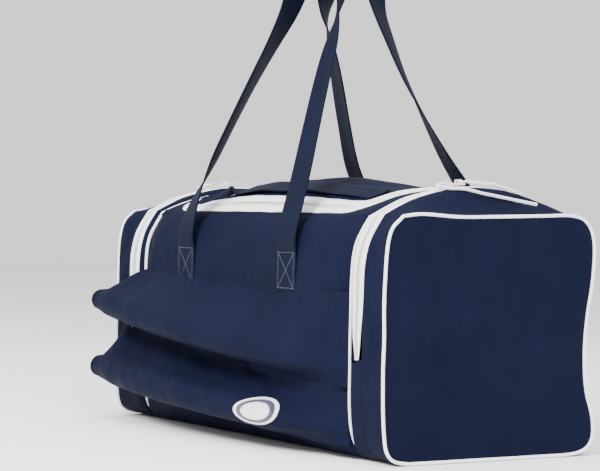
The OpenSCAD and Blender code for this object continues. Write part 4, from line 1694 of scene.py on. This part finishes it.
def lid_cord(wardrobe: Wardrobe) -> PullCord:
    """The short cord on the lid's slider, in the slider's own turned frame."""
    radius = (FORM.crown_half**2 + FORM.crown_rise**2) / (2 * FORM.crown_rise)
    low = FORM.wall_top + FORM.crown_rise - radius
    turn = math.asin(70 / radius)
    route = []
    for x, y, lift in ((256, 13, 7), (259.5, 20, 4.6), (264.5, 31, 3.1), (269, 46, 3.1)):
        out = radius + lift - y * y / (2 * radius)
        cos, sin = math.cos(turn), math.sin(turn)
        route.append((x, y * cos + out * sin, low + out * cos - y * sin))
    return PullCord(wardrobe, "lid_pull", tuple(route), "lid_pull", "lid_pull_cord")


# ---------------------------------------------------------------------------------------------
# Studio


@dataclass
class Studio:
    """Camera, lights and floor."""

    place: tuple = (2.662, -1.707, 0.333)
    yaw: float = 148.46
    pitch: float = -0.64
    roll: float = 0.93
    lens: float = 125.8

    def camera(self) -> None:
        """Sets the camera looking at the front right corner."""
        data = bpy.data.cameras.new("camera")
        data.sensor_width = 36.0
        data.lens = self.lens
        data.clip_start = 0.05
        obj = bpy.data.objects.new("camera", data)
        bpy.context.scene.collection.objects.link(obj)
        yaw, pitch, roll = (math.radians(a) for a in (self.yaw, self.pitch, self.roll))
        ahead = Vector((math.cos(pitch) * math.cos(yaw), math.cos(pitch) * math.sin(yaw), math.sin(pitch)))
        right = Vector((math.sin(yaw), -math.cos(yaw), 0.0))
        up = right.cross(ahead)
        across = right * math.cos(roll) + up * math.sin(roll)
        upward = up * math.cos(roll) - right * math.sin(roll)
        turn = Matrix((across, upward, -ahead)).transposed()
        obj.matrix_world = Matrix.Translation(self.place) @ turn.to_4x4()
        bpy.context.scene.camera = obj

    def lamp(self, name: str, place: Sequence[float], size: float, power: float, colour: tuple) -> None:
        """Adds one soft area light aimed at the bag."""
        data = bpy.data.lights.new(name, "AREA")
        data.size = size
        data.energy = power
        data.color = colour
        obj = bpy.data.objects.new(name, data)
        bpy.context.scene.collection.objects.link(obj)
        aim = Vector((0, 0, 0.2)) - Vector(place)
        obj.matrix_world = Matrix.Translation(place) @ aim.to_track_quat("-Z", "Y").to_matrix().to_4x4()

    def floor(self) -> None:
        """Lays a plain pale floor."""
        points = np.array([(-9, -9, 0), (9, -9, 0), (9, 9, 0), (-9, 9, 0)], float)
        s = Shade("floor_white")
        material = s.surface(base_color=rgb(0.93, 0.93, 0.93), roughness=0.9)
        obj = make_mesh("floor", points, [(0, 1, 2, 3)], material)

    def world(self) -> None:
        """Sets an even white surround."""
        world = bpy.data.worlds.new("surround")
        world.use_nodes = True
        bpy.context.scene.world = world
        background = world.node_tree.nodes["Background"]
        background.inputs["Color"].default_value = (1.0, 1.0, 1.0, 1.0)
        background.inputs["Strength"].default_value = 1.25

    def build(self) -> None:
        """Builds the studio."""
        self.camera()
        self.world()
        self.floor()
        self.lamp("key", (0.9, -2.7, 2.5), 1.3, 240, (1.0, 0.97, 1.0))
        self.lamp("side", (3.0, -0.9, 2.2), 1.2, 130, (0.92, 0.98, 1.0))
        self.lamp("top", (-0.4, 0.2, 3.2), 2.6, 60, (1.0, 1.0, 1.0))


def paint_cad(wardrobe: Wardrobe) -> None:
    """Gives the CAD nodes that stay in view their finishes."""
    hard = {"base_board": Slot.BOARD, "pocket_zip_stops": Slot.ZIP_TEETH}
    for name in ("lid_slider", "lid_pull_ring"):
        hard[name] = Slot.SLIDER
    for end in End:
        for place in ("front", "back"):
            hard[f"{end.word}_{place}_slider"] = Slot.SLIDER
            hard[f"{end.word}_{place}_ring"] = Slot.SLIDER
    for name, slot in hard.items():
        obj = bpy.data.objects.get(name)
        if obj is None:
            LOG.warning("no node %s", name)
            continue
        obj.data.materials.clear()
        obj.data.materials.append(wardrobe[slot])


def main() -> None:
    """Builds the bag and its studio."""
    logging.basicConfig(level=logging.INFO, format="%(message)s")
    wardrobe = Wardrobe()
    MainSection(wardrobe).build()
    Lid(wardrobe).build()
    for end in End:
        EndPocket(wardrobe, end).build()
    BatSleeve(
        wardrobe, "upper_sleeve_cloth", 187, 130,
        ((-385, 203), (-340, 223), (-300, 239), (0, 234), (291, 230)),
        ((-385, 171), (-338, 151), (-300, 146), (0, 121), (291, 94)), ("upper_sleeve", "sleeve_yoke"),
    ).build()
    lower = BatSleeve(
        wardrobe, "lower_sleeve_cloth", 80, 45,
        ((-385, 95), (-338, 146), (-300, 145), (0, 120), (291, 93)),
        ((-385, 62), (-340, 52), (-300, 45), (0, 28), (291, 16)), ("lower_sleeve",),
    ).build()
    Emblem(wardrobe, lower).build()
    Handle(wardrobe, "front_handle", -1.0, FRONT_ROUTE).build()
    Handle(wardrobe, "back_handle", 1.0, BACK_ROUTE).build()
    for end in End:
        for cord in pocket_cords(wardrobe, end):
            cord.build()
    lid_cord(wardrobe).build()
    paint_cad(wardrobe)
    Studio().build()


if __name__ == "__main__":
    main()
